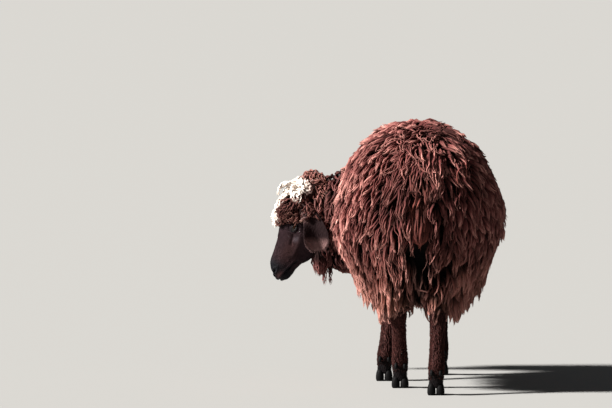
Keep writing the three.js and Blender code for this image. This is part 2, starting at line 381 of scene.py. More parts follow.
def trunkForm():
    s = trunkSize
    endAngle = 76
    lean = np.sin(np.radians(np.linspace(-endAngle, endAngle, 15)))
    halfLength = s["length"] / 2 - s["endCoat"]

    def swell(rearPower, frontPower):
        return np.sqrt(1 - np.abs(lean) ** np.where(lean < 0, rearPower, frontPower))

    waist = 0.010 * hill(lean - 0.3, 0.25)
    rows = np.zeros((len(lean), 6))
    rows[:, 1] = lean * halfLength
    rows[:, 2] = s["widest"]
    rows[:, 3] = (s["width"] / 2 - s["sideCoat"]) * swell(3, 2.6) - waist / 2
    rows[:, 4] = (s["back"] - s["widest"] - s["topCoat"]) * swell(3.2, 3) - waist
    rows[:, 5] = (s["widest"] - s["hem"] - s["bellyCoat"]) * swell(6, 2.6)
    end = halfLength * (1 - math.sin(math.radians(endAngle)))
    points, faces = loft(rows, (0, 0, 1), 72, 80, (end, end))
    x, y, z = points.T
    # the belly rises between the legs, and a groove runs down between the thighs
    belly = hill(x, 0.058) * smoothStep(-z, -0.32, -0.20)
    groove = hill(x, 0.034) * smoothStep(-z, -0.46, -0.35) * smoothStep(-y, 0.25, 0.345)
    points[:, 2] += s["bellyRise"] * belly
    points[:, 1] += s["groove"] * groove
    points[:, 0] *= 1 - 0.10 * smoothStep(-z, -0.41, -0.24)
    return fromBody(points), faces


neckRows = [
    (0, 0.215, 0.500, 0.085, 0.115, 0.120),
    (-0.014, 0.292, 0.494, 0.088, 0.130, 0.132),
    (-0.056, 0.372, 0.478, 0.084, 0.134, 0.134),
    (-0.118, 0.422, 0.464, 0.076, 0.132, 0.128),
    (-0.182, 0.446, 0.456, 0.065, 0.122, 0.122),
    (-0.232, 0.458, 0.460, 0.056, 0.116, 0.114),
    (-0.262, 0.460, 0.468, 0.048, 0.108, 0.100),
    (-0.288, 0.460, 0.482, 0.044, 0.088, 0.070),
]
tailRows = [
    (0, -0.330, 0.600, 0.018, 0.012, 0.012),
    (0, -0.366, 0.560, 0.019, 0.013, 0.012),
    (0.001, -0.384, 0.515, 0.017, 0.012, 0.012),
    (0.002, -0.392, 0.470, 0.013, 0.010, 0.010),
]

# legs: joints from hip or shoulder to hoof, then the thickness at places along them
shankRows = [
    (2.3, 0.0175, 0.0165, 0.0185),
    (2.7, 0.0165, 0.0155, 0.0165),
    (3.0, 0.0195, 0.0190, 0.0210),
    (3.5, 0.0190, 0.0185, 0.0180),
    (4.0, 0.0185, 0.0190, 0.0175),
]
hindRows = [
    (0, 0.060, 0.078, 0.062),
    (0.5, 0.060, 0.076, 0.058),
    (1, 0.046, 0.058, 0.044),
    (1.6, 0.026, 0.031, 0.031),
    (2, 0.0205, 0.0210, 0.0255),
] + shankRows
frontRows = [
    (0, 0.056, 0.070, 0.058),
    (0.5, 0.052, 0.060, 0.050),
    (1, 0.036, 0.040, 0.036),
    (1.6, 0.023, 0.025, 0.025),
    (2, 0.0205, 0.0220, 0.0205),
] + shankRows
legs = {
    "hind_right": (hindRows, [(0.096, -0.232, 0.46), (0.082, -0.262, 0.35), (0.052, -0.340, 0.232),
                              (0.047, -0.385, 0.078), (0.046, -0.371, 0.026)]),
    "hind_left": (hindRows, [(-0.100, -0.218, 0.46), (-0.092, -0.222, 0.35), (-0.057, -0.180, 0.232),
                             (-0.051, -0.141, 0.078), (-0.050, -0.124, 0.026)]),
    "front_left": (frontRows, [(-0.098, 0.222, 0.45), (-0.088, 0.206, 0.33), (-0.074, 0.168, 0.205),
                               (-0.089, 0.114, 0.078), (-0.092, 0.122, 0.026)]),
    "front_right": (frontRows, [(0.098, 0.226, 0.45), (0.086, 0.258, 0.33), (0.071, 0.304, 0.205),
                                (0.073, 0.316, 0.078), (0.072, 0.332, 0.026)]),
}


def legForm(rows, joints):
    joints = np.array(joints)
    sections = []
    for place, *reaches in rows:
        at = min(int(place), len(joints) - 2)
        sections.append([*mix(joints[at], joints[at + 1], place - at), *reaches])
    points, faces = loft(sections, (0, 1, 0), 36, 70, (0.03, 0.006))
    return fromBody(points), faces


# the head in head coordinates: distance behind the nose, forehead, chin and half width
skull = [
    (-0.012, -0.010, -0.038, 0.012),
    (-0.007, -0.004, -0.046, 0.0175),
    (0.002, 0.004, -0.054, 0.0215),
    (0.015, 0.012, -0.059, 0.024),
    (0.035, 0.021, -0.060, 0.0255),
    (0.060, 0.029, -0.068, 0.0285),
    (0.085, 0.038, -0.081, 0.035),
    (0.108, 0.045, -0.089, 0.045),
    (0.130, 0.051, -0.092, 0.054),
    (0.155, 0.055, -0.091, 0.0565),
    (0.180, 0.054, -0.084, 0.053),
    (0.205, 0.048, -0.068, 0.046),
    (0.226, 0.036, -0.048, 0.036),
]
# an ear from root to tip: drop, how far out and back it stands, half width and half thickness
earLeaf = [
    (0, 0, 0, 0.0125, 0.0095),
    (0.022, 0.018, 0.008, 0.0175, 0.0064),
    (0.048, 0.029, 0.018, 0.0272, 0.0044),
    (0.076, 0.033, 0.025, 0.0340, 0.0036),
    (0.100, 0.032, 0.028, 0.0310, 0.0032),
    (0.116, 0.030, 0.028, 0.0195, 0.0030),
]
earRoot = {"out": 0.042, "behindNose": 0.208, "up": 0.012}
earAround = 32  # points around an ear
earTop = fromHead([[earRoot["out"], -earRoot["behindNose"], earRoot["up"]]])[0, 2]


def headForm():
    rows = [
        (0, -back, (top + chin) / 2, half, (top - chin) / 2, (top - chin) / 2)
        for back, top, chin, half in skull
    ]
    points, faces = loft(rows, (0, 0, 1), 56, 90, (0.004, 0.016))
    return fromHead(points), faces


def earForm(side):
    down = np.array([0, 0, -1]) @ headFrame
    outward = np.array([side, 0, 0])
    aft = unit(np.array([0, -1, 0]) + down * down[1])
    start = np.array([side * earRoot["out"], -earRoot["behindNose"], earRoot["up"]])
    rows = []
    for drop, out, back, half, thick in earLeaf:
        at = start + down * drop + outward * out + aft * back
        rows.append([*at, half, thick, thick])
    points, faces = loft(rows, outward, earAround, 50, (0.008, 0.008), 0.5)
    return fromHead(points), faces


sides = {"left": -1, "right": 1}
forms = {"trunk": trunkForm(), "tail": loft(np.array(tailRows) + [*midline, 0, 0, 0], (0, 1, 0), 24, 30)}
forms["neck"] = loft(np.array(neckRows) + [*midline, 0, 0, 0], (0, 0, 1), 48, 60, (0.04, 0.02))
forms["head"] = headForm()
for sideName, sideSign in sides.items():
    forms["ear_" + sideName] = earForm(sideSign)
for legName, leg in legs.items():
    forms["leg_" + legName] = legForm(*leg)

# the wool on the crown stands on a low mound
crownRows = [
    (0, -0.148, 0.044, 0.034, 0.022, 0.022),
    (0, -0.176, 0.046, 0.043, 0.032, 0.032),
    (0, -0.206, 0.044, 0.045, 0.037, 0.036),
    (0, -0.230, 0.038, 0.040, 0.038, 0.036),
    (0, -0.258, 0.030, 0.036, 0.038, 0.036),
    (0, -0.284, 0.020, 0.032, 0.037, 0.036),
]
crownPoints, crownFaces = loft(crownRows, (0, 0, 1), 36, 30, (0.012, 0.014))
forms["crown"] = (fromHead(crownPoints), crownFaces)
formNames = list(forms)
legForms = ["leg_" + name for name in legs]
earForms = ["ear_left", "ear_right"]

skinSettings = {"voxel": 0.0023, "smoothPasses": 5, "headPasses": 3, "keptShare": 0.18}


def rawSkin():
    shape = joined([forms[name] for name in formNames if name not in earForms])
    piece = newPiece("skin", plainMesh("skin", *shape))
    applied(piece, "REMESH", mode="VOXEL", voxel_size=skinSettings["voxel"])
    applied(piece, "SMOOTH", factor=0.5, iterations=skinSettings["smoothPasses"])
    print("skin joined:", len(piece.data.polygons), "faces")
    return piece


def formOf(points):
    # the form that each point of the joined skin came from
    names = [name for name in formNames if name not in earForms]
    label = np.concatenate([np.full(len(forms[name][0]), formNames.index(name)) for name in names])
    tree = pointTree(np.concatenate([forms[name][0] for name in names]))
    return np.array([label[tree.find(point)[1]] for point in points])


def nearLine(line, *axes):
    # distance from each point to an open line
    here = np.stack(axes, 1)
    best = np.full(len(here), 1e9)
    for start, end in zip(np.array(line[:-1]), np.array(line[1:])):
        span = end - start
        share = np.clip(((here - start) @ span) / (span @ span), 0, 1)
        best = np.minimum(best, np.linalg.norm(here - start - share[:, None] * span, axis=1))
    return best


eyeShape = {"half": 0.0110, "above": 0.0062, "below": 0.0050, "lid": 0.0016}
# towards the nose, up
mouthLine = [
    (0.030, -0.036), (0.010, -0.0365), (0, -0.036), (-0.020, -0.039), (-0.046, -0.044), (-0.060, -0.048),
]
# outward, towards the nose, up
nostrilLine = [(0.0062, 0.0140, -0.0215), (0.0100, 0.0118, -0.0140), (0.0136, 0.0070, -0.0095),
               (0.0158, 0.0000, -0.0080), (0.0170, -0.0055, -0.0105)]


def nostrilGap(out, y, z):
    # distance to the slit, counting depth along the head for less
    return nearLine([(a, 0.35 * b, c) for a, b, c in nostrilLine], out, 0.35 * y, z)


def lidFrame(h):
    # distance along the slit (towards the nose) and above it, for one side's points
    return h[:, 1] + eyePlace["behindNose"], h[:, 2] - eyePlace["up"]


def slitShare(along, above):
    # 1 on the edge of the slit between the lids, less inside it
    half = np.where(above > 0, eyeShape["above"], eyeShape["below"])
    return np.sqrt((along / eyeShape["half"]) ** 2 + (above / half) ** 2)


def sculptHead(points, normals):
    h, n = toHead(points), normals @ headFrame
    out, y, z = np.abs(h[:, 0]), h[:, 1], h[:, 2]
    side = np.sign(h[:, 0])
    facing = smoothStep(np.abs(n[:, 0]), 0.15, 0.6)
    along, above = lidFrame(h)
    reach = np.hypot(along, above)
    bearing = np.arctan2(above, along)
    near = smoothStep(out, 0.022, 0.034)

    # bone and muscle
    brow = 0.35 + 0.65 * smoothStep(np.sin(bearing), -0.3, 0.8)
    push = 0.0034 * hill(reach - 0.0205, 0.0055) * brow * near
    cheekbone = nearLine([(-0.128, -0.016), (-0.100, -0.024), (-0.070, -0.028)], y, z)
    push += 0.0022 * hill(cheekbone, 0.006) * near
    push += 0.0040 * hill(np.hypot((y + 0.158) / 1.3, z + 0.044), 0.024) * facing
    push -= 0.0036 * hill(np.hypot((y + 0.088) / 1.5, z + 0.050), 0.015) * facing
    tearLine = nearLine([(-0.118, 0.004), (-0.092, -0.006)], y, z)
    push -= 0.0030 * hill(tearLine, 0.0045) * smoothStep(out, 0.018, 0.03)
    push -= 0.0030 * hill(np.hypot(y + 0.186, z - 0.022), 0.016) * near
    # nose bones: a flat bridge with soft edges
    bridge = smoothStep(z, 0.0, 0.02) * smoothStep(-y, 0.02, 0.045) * smoothStep(y, -0.13, -0.10)
    push += 0.0018 * hill(out - 0.0135, 0.006) * bridge - 0.0010 * hill(out, 0.007) * bridge
    # lips and chin
    lip = nearLine(mouthLine, y, z)
    below = z < np.interp(-y, [-0.03, 0, 0.02, 0.046, 0.06], [-0.036, -0.036, -0.039, -0.044, -0.048])
    reachIn = smoothStep(y, -0.068, -0.052)
    push += 0.0016 * hill(lip - 0.0055, 0.0035) * np.where(below, 0.75, 1.0) * reachIn
    push -= 0.0034 * hill(lip, 0.0019) * reachIn
    push += 0.0020 * hill(np.hypot(y, z + 0.052), 0.011)
    push -= 0.0012 * hill(np.hypot((y - 0.002) / 1.2, z + 0.0435), 0.004)
    # the split of the upper lip, and the bare pad between the nostrils
    front = smoothStep(y, 0.000, 0.008)
    cleft = smoothStep(z, -0.038, -0.034) * smoothStep(-z, 0.002, 0.010)
    push -= 0.0018 * hill(out, 0.0016) * front * cleft
    push += 0.0012 * hill(out - 0.009, 0.005) * front * hill(z + 0.024, 0.010)
    # nostrils: a curved slit with a raised rim
    slit = nostrilGap(out, y, z)
    push += 0.0016 * hill(slit - 0.0052, 0.0022) - 0.0068 * hill(slit, 0.0024)
    # hollow between the jaws
    jaws = smoothStep(-z, 0.045, 0.060) * smoothStep(-y, 0.03, 0.06) * smoothStep(y, -0.20, -0.16)
    push -= 0.0050 * hill(out, 0.011) * jaws
    moved = h + n * push[:, None]

    # lids lie on the eyeball; inside the slit the skin passes behind it
    out = np.abs(moved[:, 0])
    ball = eyePlace["out"]
    lidRadius = eyeRadius + eyeShape["lid"]
    lidOut = ball + np.sqrt(np.maximum(lidRadius**2 - reach**2, 0))
    shut = smoothStep(-reach, -0.0158, -0.0118) * near
    out = mix(out, np.maximum(lidOut, ball + 0.004), shut)
    crease = hill(reach - 0.0150, 0.0016) * smoothStep(above, 0.000, 0.006) * near
    out = out - 0.0011 * crease
    opening = slitShare(along, above)
    behind = ball + np.sqrt(np.maximum((eyeRadius - 0.0022) ** 2 - reach**2, 0))
    out = mix(out, behind, smoothStep(-opening, -1.12, -0.94) * near)
    moved[:, 0] = np.where(near > 0, side * out, moved[:, 0])
    return fromHead(moved)


def refine(piece, inside):
    mesh = bmesh.new()
    mesh.from_mesh(piece.data)
    mesh.edges.ensure_lookup_table()
    ends = np.array([(e.verts[0].index, e.verts[1].index) for e in mesh.edges])
    chosen = np.nonzero(inside[ends].all(1))[0]
    bmesh.ops.subdivide_edges(mesh, edges=[mesh.edges[i] for i in chosen], cuts=1, use_grid_fill=True)
    mesh.to_mesh(piece.data)
    mesh.free()


def makeSkin():
    piece = rawSkin()
    points = readPoints(piece.data)
    h = toHead(points)
    fine = (h[:, 1] > -0.20) & (np.abs(h[:, 0]) < 0.075) & (np.abs(h[:, 2]) < 0.13)
    fine |= points[:, 2] < 0.24
    appliedWhere(piece, ~fine, "DECIMATE", ratio=skinSettings["keptShare"])
    # finer faces at the nose, and finer still about the eyes
    for eyeReach, withNose in ((0.024, True), (0.021, False)):
        h = toHead(readPoints(piece.data))
        out = np.abs(h[:, 0])
        chosen = (np.hypot(*lidFrame(h)) < eyeReach) & (out > 0.03) & (out < 0.07)
        if withNose:
            chosen |= (h[:, 1] > -0.062) & (np.abs(h[:, 2]) < 0.08)
        refine(piece, chosen)
    h = toHead(readPoints(piece.data))
    appliedWhere(piece, (h[:, 1] > -0.18) & (np.abs(h[:, 2]) < 0.12), "SMOOTH", factor=0.5,
                 iterations=skinSettings["headPasses"])
    points = readPoints(piece.data)
    label = formOf(points)
    head = isIn(label, "head", "crown") & (toHead(points)[:, 1] > -0.215)
    points[head] = sculptHead(points, readNormals(piece.data))[head]
    piece.data.vertices.foreach_set("co", points.astype(np.float32).ravel())
    piece.data.update()
    ears = newPiece("ears", plainMesh("ears", *joined([forms[name] for name in earForms])))
    earLabels = np.repeat([formNames.index(name) for name in earForms], len(ears.data.vertices) // 2)
    label = np.append(label, earLabels)
    with bpy.context.temp_override(active_object=piece, selected_editable_objects=[piece, ears]):
        bpy.ops.object.join()
    print("skin shaped:", sum(len(p.vertices) - 2 for p in piece.data.polygons), "triangles")
    return piece, label


def isIn(form, *names):
    return np.isin(form, [formNames.index(name) for name in names])


skin, skinForm = makeSkin()
skinPoints, skinNormals = readPoints(skin.data), readNormals(skin.data)
skinFinder = pointTree(skinPoints)
# across each ear: 1 on its front margin, -1 on the rear one
skinEdge = np.zeros(len(skinForm))
for sideName, sideSign in sides.items():
    onEar = isIn(skinForm, "ear_" + sideName)
    turn = np.linspace(0, 2 * math.pi, earAround, endpoint=False)
    skinEdge[onEar] = -sideSign * np.tile(np.cos(turn), onEar.sum() // earAround)


def isForm(*names):
    return isIn(skinForm, *names)


def wander(points, size, seed):
    # smooth noise between about -1 and 1 with bumps of one size
    random = np.random.default_rng(seed)
    total = 0
    for turn in range(5):
        direction = unit(random.normal(size=3)) * 2 * math.pi / (size * random.uniform(0.8, 1.6))
        total = total + np.sin(points @ direction + random.uniform(0, 6.28))
    return total / 2.6


def strayAt(points, size, seed):
    return np.stack([wander(points, size, seed + axis) for axis in range(3)], 1)


# colour: one set of markings for skin and coat, with painted shade and painted highlight among them

coatColours = {
    "fleece": (0.160, 0.041, 0.038), "rust": (0.165, 0.045, 0.036), "low": (0.285, 0.128, 0.086),
    "neck": (0.124, 0.038, 0.036), "brownCurl": (0.130, 0.042, 0.037), "cream": (0.820, 0.745, 0.680),
    "peach": (0.430, 0.175, 0.152), "face": (0.024, 0.0115, 0.0145), "cheek": (0.038, 0.0155, 0.0155),
    "muzzle": (0.0035, 0.0033, 0.0050), "pale": (0.110, 0.085, 0.098), "ear": (0.016, 0.007, 0.008),
    # earRim is a painted highlight for the ear's lower lobe and front margin
    "earRim": (0.180, 0.100, 0.096), "leg": (0.052, 0.0150, 0.013), "pastern": (0.0055, 0.0040, 0.0048),
}


def plainTone(name, count):
    return np.tile(np.array(coatColours[name]), (count, 1))


def blend(colours, name, share):
    share = np.clip(np.asarray(share, float), 0, 1)[:, None]
    return mix(colours, np.array(coatColours[name]), share)


def isCream(h):
    # over the top of the head, from the forehead back to the poll
    y, z = h[:, 1], h[:, 2]
    edge = 0.005 * wander(h, 0.03, 71)
    back = [0.10, 0.134, 0.158, 0.200, 0.229, 0.262]
    border = np.interp(-y, back, [0.044, 0.066, 0.078, 0.079, 0.055, 0.026])
    blaze = smoothStep(-np.abs(h[:, 0]) + edge, -0.024, -0.014) * smoothStep(z, 0.025, 0.035)
    top = smoothStep(z + edge - border, -0.004, 0.004)
    return np.maximum(top, blaze * smoothStep(y, -0.20, -0.18)) * smoothStep(y + edge, -0.272, -0.256)


def bodyColour(points, form):
    body = points - midline
    h = toHead(points)
    colours = plainTone("fleece", len(points)) * (1 + 0.16 * wander(points, 0.14, 72)[:, None])
    low = smoothStep(-body[:, 2], -0.50, -0.24)
    colours = blend(colours, "low", 0.75 * low * (0.8 + 0.4 * wander(points, 0.10, 73)))
    # painted shade: the colour is darker in the cleft between the thighs, where shade falls
    cleft = smoothStep(-np.abs(body[:, 0]), -0.046, -0.028) * smoothStep(-body[:, 2], -0.46, -0.40)
    cleft = cleft * smoothStep(-body[:, 1], 0.05, 0.16)
    colours = colours * (1 - 0.93 * cleft)[:, None]
    colours = blend(colours, "rust", isIn(form, "tail"))
    colours = blend(colours, "neck", isIn(form, "neck"))
    # bleached on the side of the neck and behind the poll
    bleached = hill(np.hypot(body[:, 0] + 0.275, body[:, 2] - 0.490), 0.045)
    bleached = bleached + hill(np.hypot(h[:, 1] + 0.275, h[:, 2] - 0.05), 0.035)
    bleached = bleached * (0.55 + 0.25 * wander(points, 0.03, 74))
    colours = blend(colours, "peach", isIn(form, "neck") * bleached)
    leg = isIn(form, *legForms)
    colours = blend(colours, "leg", leg * smoothStep(-points[:, 2], -0.30, -0.22))
    return blend(colours, "pastern", leg * smoothStep(-points[:, 2], -0.078, -0.056))


def faceColour(h):
    out, y, z = np.abs(h[:, 0]), h[:, 1], h[:, 2]
    face = plainTone("face", len(h))
    face = blend(face, "cheek", 0.9 * hill(np.hypot((y + 0.075) / 2.0, z + 0.012), 0.022))
    face = blend(face, "muzzle", smoothStep(y, -0.046, -0.012))
    face = blend(face, "muzzle", 0.8 * smoothStep(-z, 0.052, 0.075) * smoothStep(y, -0.12, -0.05))
    face = blend(face, "cheek", 0.8 * hill(np.hypot((y - 0.002) / 1.6, (z + 0.028)), 0.009))
    # painted shade: darker round the eye, under the brow's wool, with a pale mark in front of it
    face = blend(face, "muzzle", 0.75 * hill(np.hypot(*lidFrame(h)), 0.014) * (out > 0.02))
    return blend(face, "pale", 0.9 * hill(np.hypot((y + 0.112) / 1.5, z + 0.010), 0.0062) * (out > 0.02))


def curlColour(h):
    cream = isCream(h)
    poll = smoothStep(-h[:, 1], 0.200, 0.226) * hill(h[:, 2] - 0.026, 0.060)
    return blend(blend(plainTone("brownCurl", len(h)), "cream", cream), "peach", 0.75 * poll * (1 - cream))


def earColour(points, edge):
    # painted highlight: the lower lobe and the front margin are lighter where they catch the light
    drop = earTop - points[:, 2]
    lobe = smoothStep(drop, 0.080, 0.104)
    front = smoothStep(edge, 0.15, 0.75) * smoothStep(-drop, -0.050, -0.030)
    return blend(plainTone("ear", len(points)), "earRim", 0.9 * np.maximum(lobe, front))


def coatColour(points, at=None):
    # the colour at each place, from the form of the nearest point of the skin
    if at is None:
        at = np.array([skinFinder.find(point)[1] for point in points])
    form, h = skinForm[at], toHead(points)
    woolly = hasCurls(points) | isIn(form, "crown")
    head = np.where(woolly[:, None], curlColour(h), faceColour(h))
    colours = mix(bodyColour(points, form), head, isIn(form, "head", "crown")[:, None])
    return mix(colours, earColour(points, skinEdge[at]), isIn(form, *earForms)[:, None])


def hasCurls(points):
    h = toHead(points)
    out, y, z = np.abs(h[:, 0]), h[:, 1], h[:, 2]
    brow = (y < -0.120 - 1.2 * np.maximum(0.048 - z, 0)) & (z > 0.010)
    poll = (y < -0.192) & (z > -0.020)
    return brow | poll


# wool: guides for the locks, swept by one node tree


def storedValue(tree, name, kind="FLOAT"):
    node = addNode(tree, "GeometryNodeInputNamedAttribute", {"Name": name}, data_type=kind)
    return node.outputs["Attribute"]


def stored(tree, shape, name, value, kind, domain="POINT"):
    return firstOf(tree, "GeometryNodeStoreNamedAttribute", {"Geometry": shape, "Name": name, "Value": value},
                   data_type=kind, domain=domain)


def finished(tree, shape, name, material=None):
    # real geometry with its material, as the tree's one output
    shape = firstOf(tree, "GeometryNodeRealizeInstances", {"Geometry": shape})
    painted = addNode(tree, "GeometryNodeSetMaterial", {"Geometry": shape})
    if material:
        tree.links.new(material, painted.inputs["Material"])
    addNode(tree, "NodeGroupOutput", {name: painted.outputs[0]})
    return tree


def sweepTree():
    tree = bpy.data.node_groups.new("woolSweep", "GeometryNodeTree")
    treeSockets(tree, {"Guides": "Geometry", "Rings": "Int", "Sides": "Int", "Flatness": "Float",
                       "Ridge": "Float", "Twist": "Float", "Wave Length": "Float", "Patch": "Float",
                       "Material": "Material"}, {"Locks": "Geometry"})
    given = tree.nodes.new("NodeGroupInput").outputs
    lie, along = storedValue(tree, "lie", "FLOAT_VECTOR"), storedValue(tree, "along")
    line = firstOf(tree, "GeometryNodeMeshToCurve", {"Mesh": given["Guides"]})
    line = firstOf(tree, "GeometryNodeCurveSplineType", {"Curve": line}, spline_type="CATMULL_ROM")
    line = firstOf(tree, "GeometryNodeResampleCurve", {"Curve": line, "Count": given["Rings"]})
    # crimp: a small spiral about the guide, wider towards the tip
    length = addNode(tree, "GeometryNodeSplineParameter").outputs["Length"]
    turns = numbers(tree, "DIVIDE", length, given["Wave Length"])
    angle = numbers(tree, "MULTIPLY_ADD", turns, 6.2832, storedValue(tree, "phase"))
    across = vectors(tree, "CROSS_PRODUCT", firstOf(tree, "GeometryNodeInputTangent"), lie)
    sideways = vectors(tree, "SCALE", across, numbers(tree, "SINE", angle))
    upward = vectors(tree, "SCALE", lie, numbers(tree, "COSINE", angle))
    swing = vectors(tree, "SCALE", vectors(tree, "ADD", sideways, upward), storedValue(tree, "wave"))
    line = firstOf(tree, "GeometryNodeSetPosition", {"Geometry": line, "Offset": swing})
    line = firstOf(tree, "GeometryNodeSetCurveNormal", {"Curve": line, "Normal": lie}, mode="FREE")
    twist = numbers(tree, "MULTIPLY", along, given["Twist"])
    line = firstOf(tree, "GeometryNodeSetCurveTilt", {"Curve": line, "Tilt": twist})
    # a flattened round, every other point drawn in, with its own place around stored on it
    outline = firstOf(tree, "GeometryNodeCurvePrimitiveCircle", {"Resolution": given["Sides"], "Radius": 1.0})
    odd = numbers(tree, "MODULO", firstOf(tree, "GeometryNodeInputIndex"), 2.0)
    scale = numbers(tree, "SUBTRACT", 1.0, numbers(tree, "MULTIPLY", odd, given["Ridge"]))
    thin = firstOf(tree, "ShaderNodeCombineXYZ", {"X": given["Flatness"], "Y": 1.0, "Z": 1.0})
    flat = vectors(tree, "MULTIPLY", firstOf(tree, "GeometryNodeInputPosition"), thin)
    outline = firstOf(tree, "GeometryNodeSetPosition", {"Geometry": outline,
                                                        "Position": vectors(tree, "SCALE", flat, scale)})
    around = addNode(tree, "GeometryNodeSplineParameter").outputs["Factor"]
    outline = stored(tree, outline, "around", around, "FLOAT")
    wool = firstOf(tree, "GeometryNodeCurveToMesh", {
        "Curve": line, "Profile Curve": outline, "Scale": storedValue(tree, "girth"), "Fill Caps": True})
    # a small patch of the map for each lock, at its root's place
    patch = firstOf(tree, "ShaderNodeCombineXYZ", {"X": storedValue(tree, "around"), "Y": along})
    place = vectors(tree, "MULTIPLY_ADD", patch, given["Patch"], storedValue(tree, "rootPlace", "FLOAT_VECTOR"))
    wool = stored(tree, wool, "OFBake", place, "FLOAT2", "CORNER")
    wool = firstOf(tree, "GeometryNodeSetShadeSmooth", {"Geometry": wool})
    return finished(tree, wool, "Locks", given["Material"])


sweep = sweepTree()


class Locks:
    # many guide lines of one point count, with values beside each point or each lock
    fields = ("points", "lie", "girth", "wave", "rootPlace", "tint", "phase", "coat")

    def __init__(self, *values):
        for field, value in zip(self.fields, values):
            setattr(self, field, value)

    def part(self, chosen):
        return Locks(*(getattr(self, field)[chosen] for field in self.fields))


coatPieces = []
grown = {}  # the locks of every region by name
lockTriangles = {}
pieceLimit = 190000  # triangles in one piece of the coat
patchSize = 0.003


def sweepLocks(name, locks, material, rings=9, sides=6, flatness=0.55, ridge=0.36, twist=2.5, waveLength=0.03,
               slot="fleece"):
    perLock = 2 * sides * (rings - 1) + 2 * (sides - 2)
    total, size = locks.points.shape[:2]
    grown[name], lockTriangles[name] = locks, perLock * total
    parts = np.array_split(np.arange(total), math.ceil(total * perLock / pieceLimit))
    for number, chosen in enumerate(parts):
        some = locks.part(chosen)
        mesh = bpy.data.meshes.new("guides")
        first = (np.arange(len(chosen))[:, None] * size + np.arange(size - 1)).ravel()
        mesh.vertices.add(len(chosen) * size)
        mesh.vertices.foreach_set("co", some.points.astype(np.float32).ravel())
        mesh.edges.add(len(first))
        mesh.edges.foreach_set("vertices", np.stack([first, first + 1], 1).astype(np.int32).ravel())
        mesh.update()
        storeAttribute(mesh, "lie", "FLOAT_VECTOR", some.lie)
        storeAttribute(mesh, "girth", "FLOAT", some.girth)
        storeAttribute(mesh, "wave", "FLOAT", some.wave)
        storeAttribute(mesh, "along", "FLOAT", np.tile(np.linspace(0, 1, size), len(chosen)))
        for field in ("tint", "phase", "rootPlace", "coat"):
            values = np.repeat(getattr(some, field)[:, None], size, 1)
            storeAttribute(mesh, field, "FLOAT" if values.ndim == 2 else "FLOAT_VECTOR", values)
        piece = newPiece(name + "_" + str(number + 1), mesh)
        piece.data = grownBy(piece, sweep, {
            "Rings": rings, "Sides": sides, "Flatness": flatness, "Ridge": ridge, "Twist": twist,
            "Wave Length": waveLength, "Patch": patchSize, "Material": material})
        for spare in ("lie", "girth", "wave", "phase", "rootPlace"):
            if spare in piece.data.attributes:
                piece.data.attributes.remove(piece.data.attributes[spare])
        coatPieces.append((piece, slot))
    print(name + ":", total, "locks,", perLock * total, "triangles")


def scatterTree():
    tree = bpy.data.node_groups.new("rootScatter", "GeometryNodeTree")
    treeSockets(tree, {"Skin": "Geometry", "Spacing": "Float", "Density": "Float", "Seed": "Int"},
                {"Roots": "Geometry"})
    given = tree.nodes.new("NodeGroupInput").outputs
    spread = addNode(tree, "GeometryNodeDistributePointsOnFaces", {
        "Mesh": given["Skin"], "Distance Min": given["Spacing"], "Density Max": given["Density"],
        "Density Factor": storedValue(tree, "share"), "Seed": given["Seed"]}, distribute_method="POISSON")
    roots = stored(tree, spread.outputs["Points"], "out", spread.outputs["Normal"], "FLOAT_VECTOR")
    roots = firstOf(tree, "GeometryNodePointsToVertices", {"Points": roots})
    return finished(tree, roots, "Roots")


scatter = scatterTree()
skin.data.attributes.new("share", "FLOAT", "POINT")


def plantRoots(share, spacing, seed):
    # evenly spread roots where the share of cover is above nought
    skin.data.attributes["share"].data.foreach_set("value", share.astype(np.float32))
    done = grownBy(skin, scatter, {"Spacing": spacing, "Density": max(60000.0, 3.0 / spacing**2), "Seed": seed})
    roots, out = readPoints(done), readVectors(done.attributes["out"].data, "vector")
    bpy.data.meshes.remove(done)
    return roots, out


def nearest(tree, points):
    found = [tree.find_nearest(point) for point in points.tolist()]
    return np.array([f[0] for f in found]), np.array([f[1] for f in found])


def roomTo(envelopes, points, normals):
    # how far each point can go outwards before it leaves the outer shapes
    room = np.zeros(len(points))
    for tree in envelopes:
        for index, (point, normal) in enumerate(zip(points.tolist(), normals.tolist())):
            hit = tree.ray_cast(point, normal, 0.16)
            if hit[0] is not None and hit[1].dot(Vector(normal)) > 0:
                room[index] = max(room[index], hit[3])
    return room


def hemHeight(points):
    # where the lowest tips end: long beside the thighs, short on the midline
    body = points - midline
    return 0.158 + 0.112 * hill(body[:, 0], 0.080) + 0.020 * wander(points, 0.06, 81)


def hanging(roots, normals, rise, reach, depth, lying):
    # lines that leave the skin and then hang straight down to the hem
    fall = np.clip(np.minimum(roots[:, 2] - hemHeight(roots), lying + 0.035), 0.025, None)
    level = unit(normals * [1, 1, 0.2])
    rise, reach = np.array(rise)[None, :, None], np.array(reach)[None, :, None]
    out = level[:, None] * rise * np.minimum(depth, 0.034)[:, None, None]
    return roots[:, None] + out + np.array([0, 0, -1.0]) * (reach**0.8) * fall[:, None, None]


def tucked(lines):
    # the fleece narrows towards its hem
    body = lines - midline
    heights = [0.16, 0.25, 0.30, 0.36, 0.42, 0.50]
    width = np.interp(body[..., 2], heights, [0.82, 0.82, 0.85, 0.93, 0.985, 1.0])
    left = body[..., 0] < 0
    width = np.where(left, width - 0.045 * hill(body[..., 2] - 0.55, 0.07), mix(width, 1.0, 0.40))
    body[..., 0] *= width
    return body + midline


